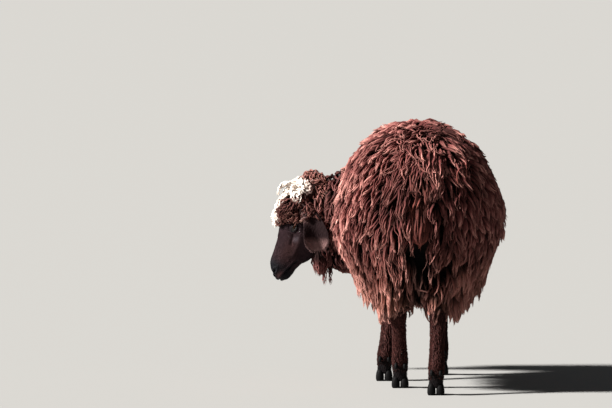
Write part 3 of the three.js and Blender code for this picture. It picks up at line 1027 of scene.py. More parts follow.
def march(tree, roots, normals, flow, rise, reach, depthAt, lying, tipLift, droop):
    # lines that rise from the skin to their depth and then lie along the flow
    spot, out = roots, normals
    depth = depthAt(spot, out)
    lines, lies = [roots + normals * (rise[0] * depth[:, None])], [flow(roots, normals)]
    heading = flow(roots, normals)
    for step in range(1, len(rise)):
        spot, out = nearest(tree, spot + heading * (lying * (reach[step] - reach[step - 1]))[:, None])
        heading = unit(heading * 0.35 + flow(spot, out))
        share = step / (len(rise) - 1)
        if step > 1:
            depth = mix(depth, depthAt(spot, out), 0.6)
        height = depth * rise[step] + tipLift * share**3
        point = spot + out * height[:, None]
        point[:, 2] -= droop * share**2
        lines.append(point)
        lies.append(out)
    return np.stack(lines, 1), np.stack(lies, 1)


def clumped(lines, roots, clumpRoots, clumpLines, strength, random):
    # draws each line towards the line of the nearest clump, more towards the tip
    tree = pointTree(clumpRoots)
    own = np.array([tree.find(point)[1] for point in roots])
    share = np.linspace(0, 1, lines.shape[1]) ** 1.3
    pull = strength * share[None, :, None] * random.uniform(0.75, 1.15, (len(lines), 1, 1))
    return mix(lines, clumpLines[own], np.clip(pull, 0, 0.92)), own


def taper(count, root=0.62, full=0.42, tip=0.10, power=1.4):
    share = np.linspace(0, 1, count)
    rising = mix(root, 1.0, np.sin(np.clip(share / full, 0, 1) * math.pi / 2))
    falling = 1 - (1 - tip) * np.clip((share - full) / (1 - full), 0, 1) ** power
    return rising * falling


def tangent(heading, normals):
    return unit(heading - normals * np.sum(heading * normals, 1, keepdims=True))


# what a region's wool does unless its own values say otherwise
ordinaryWool = {"turn": 0.10, "lyingShare": 1.0, "tint": 0.5, "straight": 0.35, "droop": 0.0}
longRise = np.array([-0.06, 0.36, 0.68, 0.88, 0.97, 1.00, 1.00, 1.00])
longReach = np.array([0, 0.07, 0.19, 0.35, 0.52, 0.69, 0.85, 1.00])


def valueAt(setting, places, normals):
    return setting(places, normals) if callable(setting) else setting


def grow(own, share, tree, flow, depthAt, chart, rise=longRise, reach=longReach, keep=None):
    # locks for one region: marched lines, drawn into clumps, with girth, crimp and tint
    settings = {**ordinaryWool, **own}
    random = np.random.default_rng(settings["seed"])
    if "clumpSpacing" in settings:
        clumpRoots, clumpOut = plantRoots(share, settings["clumpSpacing"], settings["clumpSeed"])
    roots, out = plantRoots(share, settings["spacing"], settings["rootSeed"])
    if keep is not None:
        kept = keep(roots, out)
        roots, out = roots[kept], out[kept]

    def lines(places, normals, spread):
        count = len(places)
        depthShare = (random.normal(1.0, spread, count) + 0.08 * wander(places, 0.11, 1)).clip(0.5, 1.3)
        lying = settings["lying"] * random.uniform(0.72, 1.22, count) * (1 + 0.15 * wander(places, 0.1, 2))
        lying = lying * valueAt(settings["lyingShare"], places, normals)
        turn = random.normal(0, 1, count) * valueAt(settings["turn"], places, normals)

        def turned(spot, normal):
            heading = flow(spot, normal)
            return heading * np.cos(turn)[:, None] + np.cross(normal, heading) * np.sin(turn)[:, None]

        def depth(spot, normal):
            return depthAt(spot, normal) * depthShare

        tipLift = random.uniform(*settings["tipLift"], count)
        droop = random.uniform(0, settings["droop"], count)
        made, lie = march(tree, places, normals, turned, rise, reach, depth, lying, tipLift, droop)
        if "hangShare" in settings:
            share = settings["hangShare"](places, normals)[:, None, None]
            hang = lying * random.uniform(0.55, 1.15, count)
            made = mix(made, hanging(places, normals, rise, reach, depth(places, normals), hang), share)
        return made, lie

    made, lie = lines(roots, out, settings["spread"])
    clump = np.arange(len(roots))
    if "clumpSpacing" in settings:
        clumpLines, _ = lines(clumpRoots, clumpOut, settings["clumpSpread"])
        made, clump = clumped(made, roots, clumpRoots, clumpLines, settings["clumping"], random)
    # leave out the few that fold back on themselves
    leg = unit(np.diff(made, axis=1))
    straight = np.min(np.sum(leg[:, 2:] * leg[:, 1:-1], 2), 1) > settings["straight"]
    made, lie, clump, roots = made[straight], lie[straight], clump[straight], roots[straight]
    count, size = made.shape[:2]
    girth = settings["girth"] * random.uniform(0.65, 1.25, (count, 1)) * taper(size)
    girth[random.uniform(size=count) < settings["thinShare"]] *= 0.55
    wave = settings["wave"] * random.uniform(0.3, 1.5, (count, 1)) * np.linspace(0.1, 1, size) ** 0.8
    phase = clump * 2.4 + random.uniform(-0.9, 0.9, count)
    tint = settings["tint"] + 0.20 * wander(roots, 0.12, 5) + random.normal(0, 0.14, count)
    return Locks(made, lie, girth, wave, chart(roots), np.clip(tint, 0, 1), phase, coatColour(roots))


def steady(depth):
    return lambda points, normals: np.full(len(points), depth)


# fleece of trunk, thighs and shoulders
fleece = {
    "spacing": 0.0078, "clumpSpacing": 0.0215, "margin": 0.008, "lying": 0.060, "girth": 0.0062,
    "clumping": 0.86, "wave": 0.0030, "spread": 0.07, "clumpSpread": 0.21, "tipLift": (-0.004, 0.012),
    "droop": 0.010, "thinShare": 0.25, "seed": 4, "clumpSeed": 11, "rootSeed": 12, "legEnd": 0.235,
    "tailTop": 0.588,
}
legCoat = {"thick": 0.030, "thin": 0.004, "fadesBy": 2.2}


def trunkUnder(depth):
    # the trunk's outer shape, or one this deep inside it
    coats = ("sideCoat", "topCoat", "endCoat", "bellyCoat")
    kept = {key: trunkSize[key] for key in coats}
    trunkSize.update({key: depth for key in coats})
    shape = trunkForm()
    trunkSize.update(kept)
    return shape


def outerForms():
    # the trunk and legs with their wool, thickest at the thigh
    shapes = [trunkUnder(0.0)]
    for name, (rows, joints) in legs.items():
        woolly = []
        for place, *reaches in rows:
            more = legCoat["thick"] * (1 - min(place / legCoat["fadesBy"], 1)) + legCoat["thin"]
            woolly.append((place, *(reach + more for reach in reaches)))
        shapes.append(legForm(woolly, joints))
    return [shapeTree(*shape) for shape in shapes]


def trunkFlow(points, normals):
    body = points - midline
    along = np.clip(body[:, 1], -0.285, 0.30)
    level = 0.70 + 0.07 * smoothStep(-body[:, 1], 0.15, 0.28)
    away = body - np.stack([np.zeros(len(body)), along, level], 1)
    crown = hill(away[:, 0], 0.035) * smoothStep(normals[:, 2], 0.5, 0.9)
    stray, tight = strayAt(points, 0.085, 21), strayAt(points, 0.030, 24)
    heading = unit(away) + np.array([0, -0.10, -0.75]) + 0.42 * stray + crown[:, None] * 0.4 * tight
    return tangent(heading, normals)


def trunkChart(points):
    body = (points - midline - [0, 0, 0.47]) / [0.24, 0.41, 0.29]
    across = np.arctan2(body[:, 0], body[:, 2]) / (2 * math.pi) + 0.5
    along = np.arccos(np.clip(body[:, 1] / np.linalg.norm(body, axis=1), -1, 1)) / math.pi
    return np.stack([0.02 + 0.96 * across, 0.02 + 0.96 * along, np.zeros(len(points))], 1)


def fleeceHang(points, normals):
    # how far a lock hangs free: under the trunk, and in the cleft between the thighs
    body = points - midline
    x, y, z = body.T
    cleft = hill(x, 0.055) * smoothStep(-z, -0.45, -0.38) * smoothStep(-y, 0.10, 0.20)
    inner = smoothStep(-z, -0.40, -0.33) * smoothStep(-normals[:, 0] * np.sign(x), -0.1, 0.3)
    return np.maximum.reduce([smoothStep(-normals[:, 2], 0.12, 0.5), cleft, inner])


def fleeceTurn(points, normals):
    # locks lie in all directions on the very top
    body = points - midline
    return 0.12 + 0.28 * hill(body[:, 0], 0.050) * smoothStep(normals[:, 2], 0.55, 0.85)


fleece["hangShare"] = fleeceHang
fleece["turn"] = fleeceTurn


def skinShapeTree():
    polygons = np.empty(len(skin.data.loops), np.int32)
    skin.data.loops.foreach_get("vertex_index", polygons)
    starts = np.empty(len(skin.data.polygons) + 1, np.int32)
    skin.data.polygons.foreach_get("loop_start", starts[:-1])
    starts[-1] = len(polygons)
    faces = [polygons[start:end].tolist() for start, end in zip(starts, starts[1:])]
    return BVHTree.FromPolygons(skinPoints.tolist(), faces)


skinTree = skinShapeTree()
outer = outerForms()
# the full shapes of neck and topknot that their wool fills
neckOuter = [
    (0, 0.215, 0.495, 0.110, 0.140, 0.150), (-0.014, 0.292, 0.490, 0.120, 0.164, 0.168),
    (-0.056, 0.374, 0.474, 0.118, 0.172, 0.172), (-0.118, 0.424, 0.458, 0.106, 0.158, 0.166),
    (-0.182, 0.448, 0.450, 0.092, 0.144, 0.160), (-0.232, 0.458, 0.452, 0.076, 0.136, 0.156),
    (-0.264, 0.460, 0.462, 0.058, 0.128, 0.146), (-0.288, 0.460, 0.476, 0.050, 0.112, 0.106),
    (-0.308, 0.460, 0.490, 0.044, 0.092, 0.066),
]
crownOuter = [
    (0, -0.122, 0.050, 0.034, 0.024, 0.022), (0, -0.145, 0.053, 0.052, 0.035, 0.036),
    (0, -0.175, 0.052, 0.061, 0.042, 0.044), (0, -0.208, 0.048, 0.062, 0.047, 0.046),
    (0, -0.238, 0.040, 0.054, 0.051, 0.042),
]


def outerTree(rows, caps, place):
    points, faces = loft(rows, (0, 0, 1), 48, 50, caps)
    return shapeTree(place(points), faces)


outerNeck = outerTree(neckOuter, (0.040, 0.016), fromBody)
outerCrown = outerTree(crownOuter, (0.012, 0.026), fromHead)


def fleeceDepth(points, normals):
    return np.maximum(roomTo(outer, points, normals) - fleece["margin"], 0.010)


def fleeceKept(roots, out):
    # thinner underneath, and bare under the tail
    random = np.random.default_rng(fleece["seed"])
    keep = random.uniform(size=len(roots)) < 1 - 0.5 * smoothStep(-out[:, 2], 0.75, 0.95)
    spot = roots - midline
    bare = np.interp(spot[:, 2], [0.40, 0.44, 0.52, 0.555], [0.022, 0.022, 0.022, 0.0])
    return keep & ~((np.abs(spot[:, 0]) < bare) & (spot[:, 1] < -0.25))


def trunkLocks():
    share = isForm("trunk") | isForm(*legForms) & (skinPoints[:, 2] > fleece["legEnd"])
    share |= isForm("tail") & (skinPoints[:, 2] > fleece["tailTop"])
    locks = grow(fleece, share, skinTree, trunkFlow, fleeceDepth, trunkChart, keep=fleeceKept)
    locks.points = tucked(locks.points)
    return locks


def attributeValue(tree, name, output="Fac"):
    node = addNode(tree, "ShaderNodeAttribute", attribute_name=name, attribute_type="GEOMETRY")
    return node.outputs[output]


# the fibres' noise: how often it repeats around a lock and along it, and how far apart two locks' patterns are
fibrePattern = (10.0, 2.2, 91.0)


def woolGroup():
    # colour from a root darkened by painted shade to a bleached tip, with fine fibres running along the lock
    tree = bpy.data.node_groups.new("woolFibre", "ShaderNodeTree")
    treeSockets(tree, {"Coat": "Color", "Painted Root Light": "Float", "Tip Color": "Color", "Tip Share": "Float",
                       "Tint Spread": "Float", "Fibre Depth": "Float"}, {"Color": "Color", "Height": "Float"})
    given = tree.nodes.new("NodeGroupInput").outputs
    fibreDepth = given["Fibre Depth"]
    along, around, tint = (attributeValue(tree, name) for name in ("along", "around", "tint"))
    spot = firstOf(tree, "ShaderNodeCombineXYZ", {"X": around, "Y": along, "Z": tint})
    fibres = noise(tree, vectors(tree, "MULTIPLY", spot, fibrePattern), Scale=1.6, Detail=3.0, Roughness=0.6,
                   Distortion=0.5)
    tip = numbers(tree, "MULTIPLY", ranged(tree, along, (0.45, 1.0), curve="SMOOTHSTEP"),
                  ranged(tree, tint, (0.15, 0.9), (0.10, 1.0)))
    tip = numbers(tree, "MULTIPLY", tip, given["Tip Share"])
    bleached = mixedColour(tree, tip, given["Coat"], given["Tip Color"])
    # each lock and each strand a little lighter or darker, and painted shade that darkens each lock towards its
    # root, where the locks shade one another
    ownLight = numbers(tree, "MULTIPLY_ADD", numbers(tree, "ADD", tint, -0.5), given["Tint Spread"], 1.0)
    darkest = numbers(tree, "MULTIPLY_ADD", fibreDepth, -0.58, 1.0)
    lightest = numbers(tree, "MULTIPLY_ADD", fibreDepth, 0.55, 1.0)
    level = numbers(tree, "MULTIPLY", ownLight, ranged(tree, fibres, (0.25, 0.75), (darkest, lightest)))
    paintedRootShade = ranged(tree, along, (0.18, 0.78), (given["Painted Root Light"], 1.0), "SMOOTHSTEP")
    final = vectors(tree, "SCALE", bleached, numbers(tree, "MULTIPLY", level, paintedRootShade))
    height = numbers(tree, "MULTIPLY", fibres, fibreDepth)
    addNode(tree, "NodeGroupOutput", {"Color": final, "Height": height})
    return tree


woolFibre = woolGroup()


woolSurface = {
    "Roughness": 0.80, "Sheen Roughness": 0.5, "Sheen Tint": (1.0, 0.62, 0.56, 1), "Specular IOR Level": 0.11,
}


# the second value is how light the painted root shade leaves each lock at its root
def woolMaterial(name, rootLight, tipColor, tipShare=1.0, tintSpread=1.2, fibreDepth=1.0, sheen=0.03):
    material = newMaterial(name, {**woolSurface, "Sheen Weight": sheen})
    tree = material.node_tree
    fibre = addNode(tree, "ShaderNodeGroup", node_tree=woolFibre)
    for key, value in {"Painted Root Light": rootLight, "Tip Color": (*tipColor, 1), "Tip Share": tipShare,
                       "Tint Spread": tintSpread, "Fibre Depth": fibreDepth}.items():
        fibre.inputs[key].default_value = value
    tree.links.new(attributeValue(tree, "coat", "Color"), fibre.inputs["Coat"])
    return linkShader(material, {"Base Color": fibre.outputs["Color"],
                                 "Normal": bumped(tree, fibre.outputs["Height"], 0.85, 0.0022)})


fleeceMaterial = woolMaterial("fleece", 0.08, (0.53, 0.260, 0.220))
coverMaterial = woolMaterial("coverWool", 0.40, (0.48, 0.225, 0.192))
sweepLocks("fleece", trunkLocks(), fleeceMaterial, rings=9, waveLength=0.046)


# the back: short ruffled locks that close the parting
ruffle = {
    "spacing": 0.0067, "clumpSpacing": 0.018, "lying": 0.028, "girth": 0.0060, "clumping": 0.85,
    "wave": 0.0026, "spread": 0.06, "clumpSpread": 0.10, "tipLift": (-0.012, 0.000), "turn": 0.65,
    "thinShare": 0.15, "seed": 6, "clumpSeed": 19, "rootSeed": 13,
}


def ruffleLocks():
    x, y, z = (skinPoints - midline).T
    share = isForm("trunk") & (np.abs(x) < 0.045) & (skinNormals[:, 2] > 0.35) & (y > -0.335)
    return grow(ruffle, share, skinTree, trunkFlow, fleeceDepth, trunkChart)


sweepLocks("ruffle", ruffleLocks(), coverMaterial, rings=8, waveLength=0.040)

# locks that bridge the hollow above the tail, lying just inside the outer shape
bridge = {
    **ruffle, "spacing": 0.0075, "clumpSpacing": 0.028, "lying": 0.088, "girth": 0.0062, "turn": 0.18,
    "tipLift": (-0.004, 0.004), "straight": -1.0, "seed": 16, "clumpSeed": 61, "rootSeed": 62,
    "under": 0.026, "depth": 0.021,
}


def bridgeLocks():
    x, y, z = (skinPoints - midline).T
    share = isForm("trunk", "tail") & (np.abs(x) < 0.050) & (y < -0.26) & (z > 0.580) & (z < 0.700)
    inside = shapeTree(*trunkUnder(bridge["under"]))
    return grow(bridge, share, inside, trunkFlow, steady(bridge["depth"]), trunkChart)


sweepLocks("bridge", bridgeLocks(), coverMaterial, rings=10, waveLength=0.046)
print("fleece grown")


def lineChart(line, up):
    # unwrap about a line: around it by angle, along it by distance
    line, up = np.asarray(line, float), np.asarray(up, float)

    def chart(points):
        best, place, angle = np.full(len(points), 1e9), np.zeros(len(points)), np.zeros(len(points))
        for number, (start, end) in enumerate(zip(line[:-1], line[1:])):
            span = end - start
            share = (points - start) @ span / (span @ span)
            off = points - start - np.clip(share, 0, 1)[:, None] * span
            gap = np.linalg.norm(off, axis=1)
            side = unit(np.cross(span, up))
            high = unit(np.cross(side, span))
            closer = gap < best
            best[closer] = gap[closer]
            place[closer] = (number + np.clip(share, -0.4, 1.4))[closer]
            angle[closer] = np.arctan2(off @ side, off @ high)[closer]
        across = 0.02 + 0.96 * (angle / (2 * math.pi) + 0.5)
        along = 0.02 + 0.96 * np.clip((place + 0.4) / (len(line) - 0.2), 0, 1)
        return np.stack([0.01 + 0.98 * across, along, np.zeros(len(points))], 1)

    return chart


neckChart = lineChart(fromBody(np.array(neckRows)[:, :3]), (0, 0, 1))
tailChart = lineChart(fromBody(np.array(tailRows)[:, :3]), (0, 1, 0))
headChart = lineChart(fromHead([(0, -0.10, 0.0), (0, -0.24, 0.0)]), headUp)


def neckTurn(points, normals):
    return 0.20 + 0.45 * smoothStep(normals[:, 2], 0.35, 0.75)


def ridgeReach(points, normals):
    # locks on the crest stand up before they fall aside
    return mix(1.0, 0.50, smoothStep(normals[:, 2], 0.45, 0.85))


# neck: rounder, curlier locks that hang down and back
neckWool = {
    "spacing": 0.0078, "clumpSpacing": 0.022, "lying": 0.048, "girth": 0.0072, "clumping": 0.90,
    "wave": 0.0046, "spread": 0.07, "clumpSpread": 0.14, "tipLift": (-0.002, 0.012), "droop": 0.004,
    "thinShare": 0.1, "straight": 0.2, "turn": neckTurn, "lyingShare": ridgeReach, "seed": 7,
    "clumpSeed": 14, "rootSeed": 15, "margin": 0.004,
}


def neckFlow(points, normals):
    return tangent(np.array([0.25, -0.05, -1.0]) + 0.35 * strayAt(points, 0.06, 41), normals)


def neckDepth(points, normals):
    room = roomTo([outerNeck, outer[0]], points, normals) - neckWool["margin"]
    return np.clip(room, 0.016, 0.060)


def neckLocks():
    head = toHead(skinPoints)
    share = isForm("neck") | isForm("head") & (head[:, 1] < -0.212) & (head[:, 2] < 0.035)
    return grow(neckWool, share, skinTree, neckFlow, neckDepth, neckChart)


neckMaterial = woolMaterial("neckWool", 0.09, (0.33, 0.140, 0.125))
sweepLocks("neck", neckLocks(), neckMaterial, rings=9, waveLength=0.034)


# tail: long straight strands
tailWool = {
    "spacing": 0.0046, "lying": 0.085, "girth": 0.0054, "wave": 0.0014, "spread": 0.14,
    "tipLift": (-0.008, 0.002), "droop": 0.006, "thinShare": 0.25, "tint": 0.58, "straight": 0.0,
    "seed": 8, "rootSeed": 16, "top": 0.63, "depth": 0.017, "pointAt": 0.430,
    "hangShare": lambda places, normals: np.ones(len(places)),
}


def tailFlow(points, normals):
    return tangent(np.tile([0.0, 0.0, -1.0], (len(points), 1)), normals)


def tailLocks():
    # all hang free and draw in to a point
    share = isForm("tail") & (skinPoints[:, 2] < tailWool["top"])
    locks = grow(tailWool, share, skinTree, tailFlow, steady(tailWool["depth"]), tailChart)
    body = locks.points - midline
    body[..., 0] *= np.interp(body[..., 2], [0.39, 0.43, 0.47, 0.52, 0.58], [0.10, 0.45, 0.85, 1.05, 1.0])
    low = np.minimum(body[..., 2] - tailWool["pointAt"], 0)
    body[..., 2] -= 0.75 * low
    body[..., 1] -= 0.4 * low
    locks.points = body + midline
    return locks


tailMaterial = woolMaterial("tailWool", 0.20, (0.31, 0.098, 0.070))
sweepLocks("tail", tailLocks(), tailMaterial, rings=9, waveLength=0.06)


# legs: short tight crimped tufts
legWool = {
    "spacing": 0.0036, "lying": 0.0125, "girth": 0.0029, "wave": 0.0010, "spread": 0.13,
    "tipLift": (-0.0016, 0.0002), "droop": 0.001, "thinShare": 0.15, "straight": -1.0, "seed": 9,
    "low": 0.054, "high": 0.262,
}
shortRise = np.array([-0.3, 0.8, 0.9, 0.4])
shortReach = np.array([0, 0.25, 0.62, 1.0])


def legFlow(points, normals):
    return tangent(np.array([0, 0, -1.0]) + 0.38 * strayAt(points, 0.018, 51), normals)


def legDepth(points, normals):
    return mix(0.0026, 0.0044, smoothStep(points[:, 2], 0.06, 0.11))


legMaterial = woolMaterial("legWool", 0.45, (0.190, 0.068, 0.056), 0.8, 1.1)
height = skinPoints[:, 2]
for number, (legName, (rows, joints)) in enumerate(legs.items()):
    share = isForm("leg_" + legName) & (height > legWool["low"]) & (height < legWool["high"])
    chart = lineChart(fromBody(joints[2:]), (0, 1, 0))
    locks = grow({**legWool, "rootSeed": 20 + number}, share, skinTree, legFlow, legDepth, chart, shortRise,
                 shortReach)
    sweepLocks("legWool_" + legName, locks, legMaterial, rings=4, sides=4, flatness=0.6, waveLength=0.011,
               slot="leg_wool")
print("neck, tail and legs covered")


def curlTurn(points, normals):
    return 0.30 + 0.75 * smoothStep(normals[:, 2], 0.2, 0.6)


def curlReach(points, normals):
    # shorter where the wool ends above the eyes and on the forehead
    h = toHead(points)
    behind = -h[:, 1] - 0.120 - 1.3 * np.maximum(0.050 - h[:, 2], 0)
    return mix(0.42, 1.0, smoothStep(behind, 0.0, 0.035)) * (0.3 + 0.7 * ridgeReach(points, normals))


# head: curls on poll and forehead, cream on the crown
curls = {
    "spacing": 0.0046, "clumpSpacing": 0.015, "lying": 0.032, "girth": 0.0036, "clumping": 0.78,
    "wave": 0.0032, "spread": 0.08, "clumpSpread": 0.13, "tipLift": (-0.003, 0.007), "droop": 0.004,
    "thinShare": 0.2, "straight": -0.2, "turn": curlTurn, "lyingShare": curlReach, "seed": 10,
    "clumpSeed": 17, "rootSeed": 18, "onEars": 0.030, "creamGirth": 1.5,
}
paleFrom = 0.35  # the green of a colour above which wool counts as cream


def curlFlow(points, normals):
    h = toHead(points)
    away = h - [0, -0.222, 0.050]
    away = unit(away) + np.array([0, 0.25, 0])
    return tangent(away @ headFrame.T + [0, 0, -0.45] + 0.45 * strayAt(points, 0.030, 61), normals)


def curlDepth(points, normals):
    h = toHead(points)
    front = smoothStep(h[:, 1], -0.150, -0.120)
    room = roomTo([outerCrown, outerNeck], points, normals) - 0.003
    return np.clip(room, 0.011, mix(0.040, 0.016, front))


def curlLocks():
    share = isForm("crown") | isForm("head") & hasCurls(skinPoints)
    share |= isForm(*earForms) & (earTop - skinPoints[:, 2] < curls["onEars"])
    locks = grow(curls, share, skinTree, curlFlow, curlDepth, headChart)
    locks.coat = np.maximum(locks.coat, coatColours["brownCurl"])
    return locks


curlMaterial = woolMaterial("headWool", 0.30, (0.42, 0.235, 0.175), 0.7)
creamMaterial = woolMaterial("creamWool", 1.0, (0.90, 0.82, 0.74), 0.6, 0.20, 0.4)
headLocks = curlLocks()
pale = headLocks.coat[:, 1] > paleFrom
headLocks.girth[pale] *= curls["creamGirth"]
for name, chosen, material in (("curls", ~pale, curlMaterial), ("creamCurls", pale, creamMaterial)):
    sweepLocks(name, headLocks.part(chosen), material, rings=10, flatness=0.7, waveLength=0.015, slot="topknot")
print("head wool grown")


# single locks that stand out, each a small twisted bundle along its own line


def bundle(paths, strands, spread, girth, seed, chart, coatPoint=None, wave=0.0006, tint=0.6):
    # strands wound about each path and drawn together at its tip
    random = np.random.default_rng(seed)
    size = 8
    share = np.linspace(0, 1, size)
    lines, lies, coats, places = [], [], [], []
    for path in paths:
        path = np.asarray(path, float)
        centre = spline(path, share)
        ahead = unit(spline(path, share + 0.02) - spline(path, share - 0.02))
        side = unit(np.cross(ahead, [0.1, -1.0, 0.2]))
        high = np.cross(side, ahead)
        colour = coatColour(path[:1] if coatPoint is None else np.array([coatPoint]))[0]
        for strand in range(strands):
            angle = 6.283 * strand / strands + share * random.uniform(1.5, 3.5)
            reach = spread * random.uniform(0.6, 1.2) * np.linspace(1, 0.25, size)
            off = side * (np.cos(angle) * reach)[:, None] + high * (np.sin(angle) * reach)[:, None]
            lines.append(centre + off)
            lies.append(high)
            coats.append(colour)
            places.append(path[0])
    count = len(lines)
    girths = girth * random.uniform(0.75, 1.2, (count, 1)) * taper(size, 0.8, 0.4, 0.12, 1.8)
    tints = random.normal(tint, 0.1, count).clip(0, 1)
    return Locks(np.array(lines), np.array(lies), girths, np.full((count, size), wave),
                 chart(np.array(places)), tints, random.uniform(0, 6.28, count), np.array(coats))


def behindWool(names, across, height, off):
    # a point just behind the wool of the named pieces
    wool = np.concatenate([grown[name].points.reshape(-1, 3) for name in names]) - midline
    near = np.hypot(wool[:, 0] - across, wool[:, 2] - height) < 0.014
    return fromBody([across, np.percentile(wool[near & (wool[:, 1] < 0), 1], 15) - off, height])


# across, height and how far behind the wool
hookPaths = [
    [(0.108, 0.682, 0.0), (0.1180, 0.674, 0.006), (0.1275, 0.661, 0.010), (0.1300, 0.640, 0.010),
     (0.1310, 0.618, 0.009), (0.1285, 0.598, 0.006)],
    [(0.1290, 0.634, 0.002), (0.1250, 0.630, 0.010), (0.1180, 0.630, 0.013), (0.1090, 0.624, 0.013),
     (0.1050, 0.606, 0.010), (0.1075, 0.582, 0.004)],
]
loopPaths = [
    [(-0.014, 0.552, -0.004), (-0.021, 0.571, 0.004), (-0.030, 0.563, 0.009), (-0.034, 0.549, 0.010),
     (-0.032, 0.532, 0.010), (-0.024, 0.515, 0.009), (-0.025, 0.495, 0.007), (-0.027, 0.473, 0.004)],
    [(-0.017, 0.556, -0.004), (-0.016, 0.570, 0.005), (-0.010, 0.565, 0.009), (-0.010, 0.552, 0.010),
     (-0.014, 0.537, 0.010), (-0.022, 0.516, 0.009), (-0.023, 0.496, 0.007), (-0.024, 0.482, 0.004)],
    [(0.004, 0.562, -0.002), (0.001, 0.548, 0.007), (-0.004, 0.534, 0.009), (-0.010, 0.519, 0.005)],
]
# head coordinates; the brow's first number is for the right side
forelockPath = [
    (-0.008, -0.246, 0.062), (-0.010, -0.243, 0.084), (-0.012, -0.232, 0.100), (-0.012, -0.216, 0.108),
    (-0.013, -0.200, 0.108), (-0.014, -0.190, 0.101),
]
browPath = [
    (0.047, -0.186, 0.004), (0.0530, -0.170, 0.014), (0.0540, -0.156, 0.028), (0.0480, -0.145, 0.040),
    (0.0400, -0.138, 0.046),
]
forelockTone, browTone = fromHead([0.0, -0.20, 0.100]), fromHead([0.05, -0.17, 0.03])
throatTone = fromBody([-0.2, 0.45, 0.36])
# centre, width, half height, strands and girth of each matted lock under the throat
throatLocks = [
    (-0.275, 0.438, 0.310, 0.030, 0.030, 54, 0.0048),
    (-0.262, 0.442, 0.286, 0.011, 0.034, 8, 0.0038),
    (-0.246, 0.448, 0.284, 0.010, 0.030, 7, 0.0034),
]


def rearLocks():
    rump = [[behindWool(["fleece"], *spot) for spot in path] for path in hookPaths]
    tail = [[behindWool(["tail", "bridge"], *spot) for spot in path] for path in loopPaths]
    hook = bundle(rump, 3, 0.0024, 0.0042, 31, trunkChart, tint=0.75)
    loops = bundle(tail, 3, 0.0022, 0.0036, 33, trunkChart, tint=0.55)
    sweepLocks("hookedLock", hook, tailMaterial, waveLength=0.05)
    sweepLocks("tailLoops", loops, tailMaterial, waveLength=0.05)


def headStandouts():
    forelock = bundle([fromHead(forelockPath)], 9, 0.0068, 0.0040, 34, headChart, forelockTone, 0.0022)
    sweepLocks("forelock", forelock, creamMaterial, waveLength=0.016, slot="topknot")
    brows = bundle([fromHead(np.array(browPath) * [side, 1, 1]) for side in sides.values()], 5, 0.0042, 0.0034,
                   36, headChart, browTone)
    sweepLocks("browLocks", brows, curlMaterial, waveLength=0.016, slot="topknot")


def throatStrands():
    for number, (x, y, z, width, half, strands, girth) in enumerate(throatLocks):
        random = np.random.default_rng(50 + number)
        paths = []
        for _ in range(strands):
            off = random.normal(0, 0.42 * width, 2).clip(-0.8 * width, 0.8 * width)
            drop = half * random.uniform(0.80, 1.1) * (1 - 8 * abs(off[0]))
            spots = ((0.8, half + 0.030), (1.0, half * 0.5), (0.9, 0), (0.6, -drop))
            paths.append([fromBody([x + off[0] * share, y + off[1] * share, z + rise])
                          for share, rise in spots])
        locks = bundle(paths, 1, 0.0008, girth, 40 + number, headChart, throatTone, 0.002)
        sweepLocks("throat_" + str(number + 1), locks, neckMaterial, waveLength=0.024)


rearLocks()
headStandouts()
throatStrands()

# short fur of face and ears: flat tufts

fur = {
    "spacing": 0.0025, "length": 0.0066, "girth": 0.00076, "lift": 0.0008, "seed": 12, "rootSeed": 41,
    "pasternSpacing": 0.0034, "pasternLength": 0.008, "pasternGirth": 0.0011, "pasternLift": 0.0016,
    "earSpacing": 0.0036, "earLength": 0.007, "earGirth": 0.0008, "rimLength": (0.006, 0.010),
    "rimGirth": (0.0005, 0.0008),
}
furSweep = {"rings": 3, "sides": 3, "ridge": 0.0, "twist": 0}
tuftSize = 4  # points in a tuft's guide
tuftAlong, tuftRise = np.array([-0.15, 0.3, 0.7, 1.0]), np.array([-0.4, 0.7, 1.0, 1.0])


def flatTufts(roots, out, flow, length, girth, lift, chart, random):
    heading = tangent(flow, out)
    count = len(roots)
    length, girth, lift = (np.broadcast_to(value, count)[:, None] for value in (length, girth, lift))
    points = roots[:, None] + heading[:, None] * (tuftAlong * length)[..., None]
    points = points + out[:, None] * (tuftRise * lift)[..., None]
    size = np.array([0.7, 1.0, 0.75, 0.12]) * girth
    return Locks(points, np.repeat(out[:, None], tuftSize, 1), size, np.zeros((count, tuftSize)), chart(roots),
                 random.normal(0.5, 0.16, count).clip(0, 1), np.zeros(count), coatColour(roots))


def bareSkin(points):
    # 1 on the nose pad, lips, nostrils and lids, 0 on furred skin
    h = toHead(points)
    out, y, z = np.abs(h[:, 0]), h[:, 1], h[:, 2]
    pad = smoothStep(y, 0.004, 0.009) * smoothStep(-out, -0.0155, -0.0115) * smoothStep(z, -0.038, -0.034)
    nostril = smoothStep(-nostrilGap(out, y, z), -0.0060, -0.0042)
    lip = smoothStep(-nearLine(mouthLine, y, z), -0.0034, -0.0022) * (y > -0.062)
    lids = smoothStep(-slitShare(*lidFrame(h)), -1.50, -1.25) * (out > 0.030)
    return np.clip(np.maximum.reduce([pad, nostril, lip, lids]), 0, 1)


def faceFlow(points):
    h = toHead(points)
    away = np.stack([np.sign(h[:, 0]) * 0.35 * smoothStep(h[:, 2], 0.0, 0.04), -np.ones(len(h)),
                     -0.30 * smoothStep(-h[:, 2], -0.03, 0.03)], 1)
    return away @ headFrame.T + 0.15 * strayAt(points, 0.02, 91)


furMaterial = woolMaterial("shortFur", 1.0, (0.050, 0.029, 0.032), 0.35, 0.5, 0.6, 0.02)


def downwards(count):
    return np.tile([0.0, 0.0, -1.0], (count, 1))


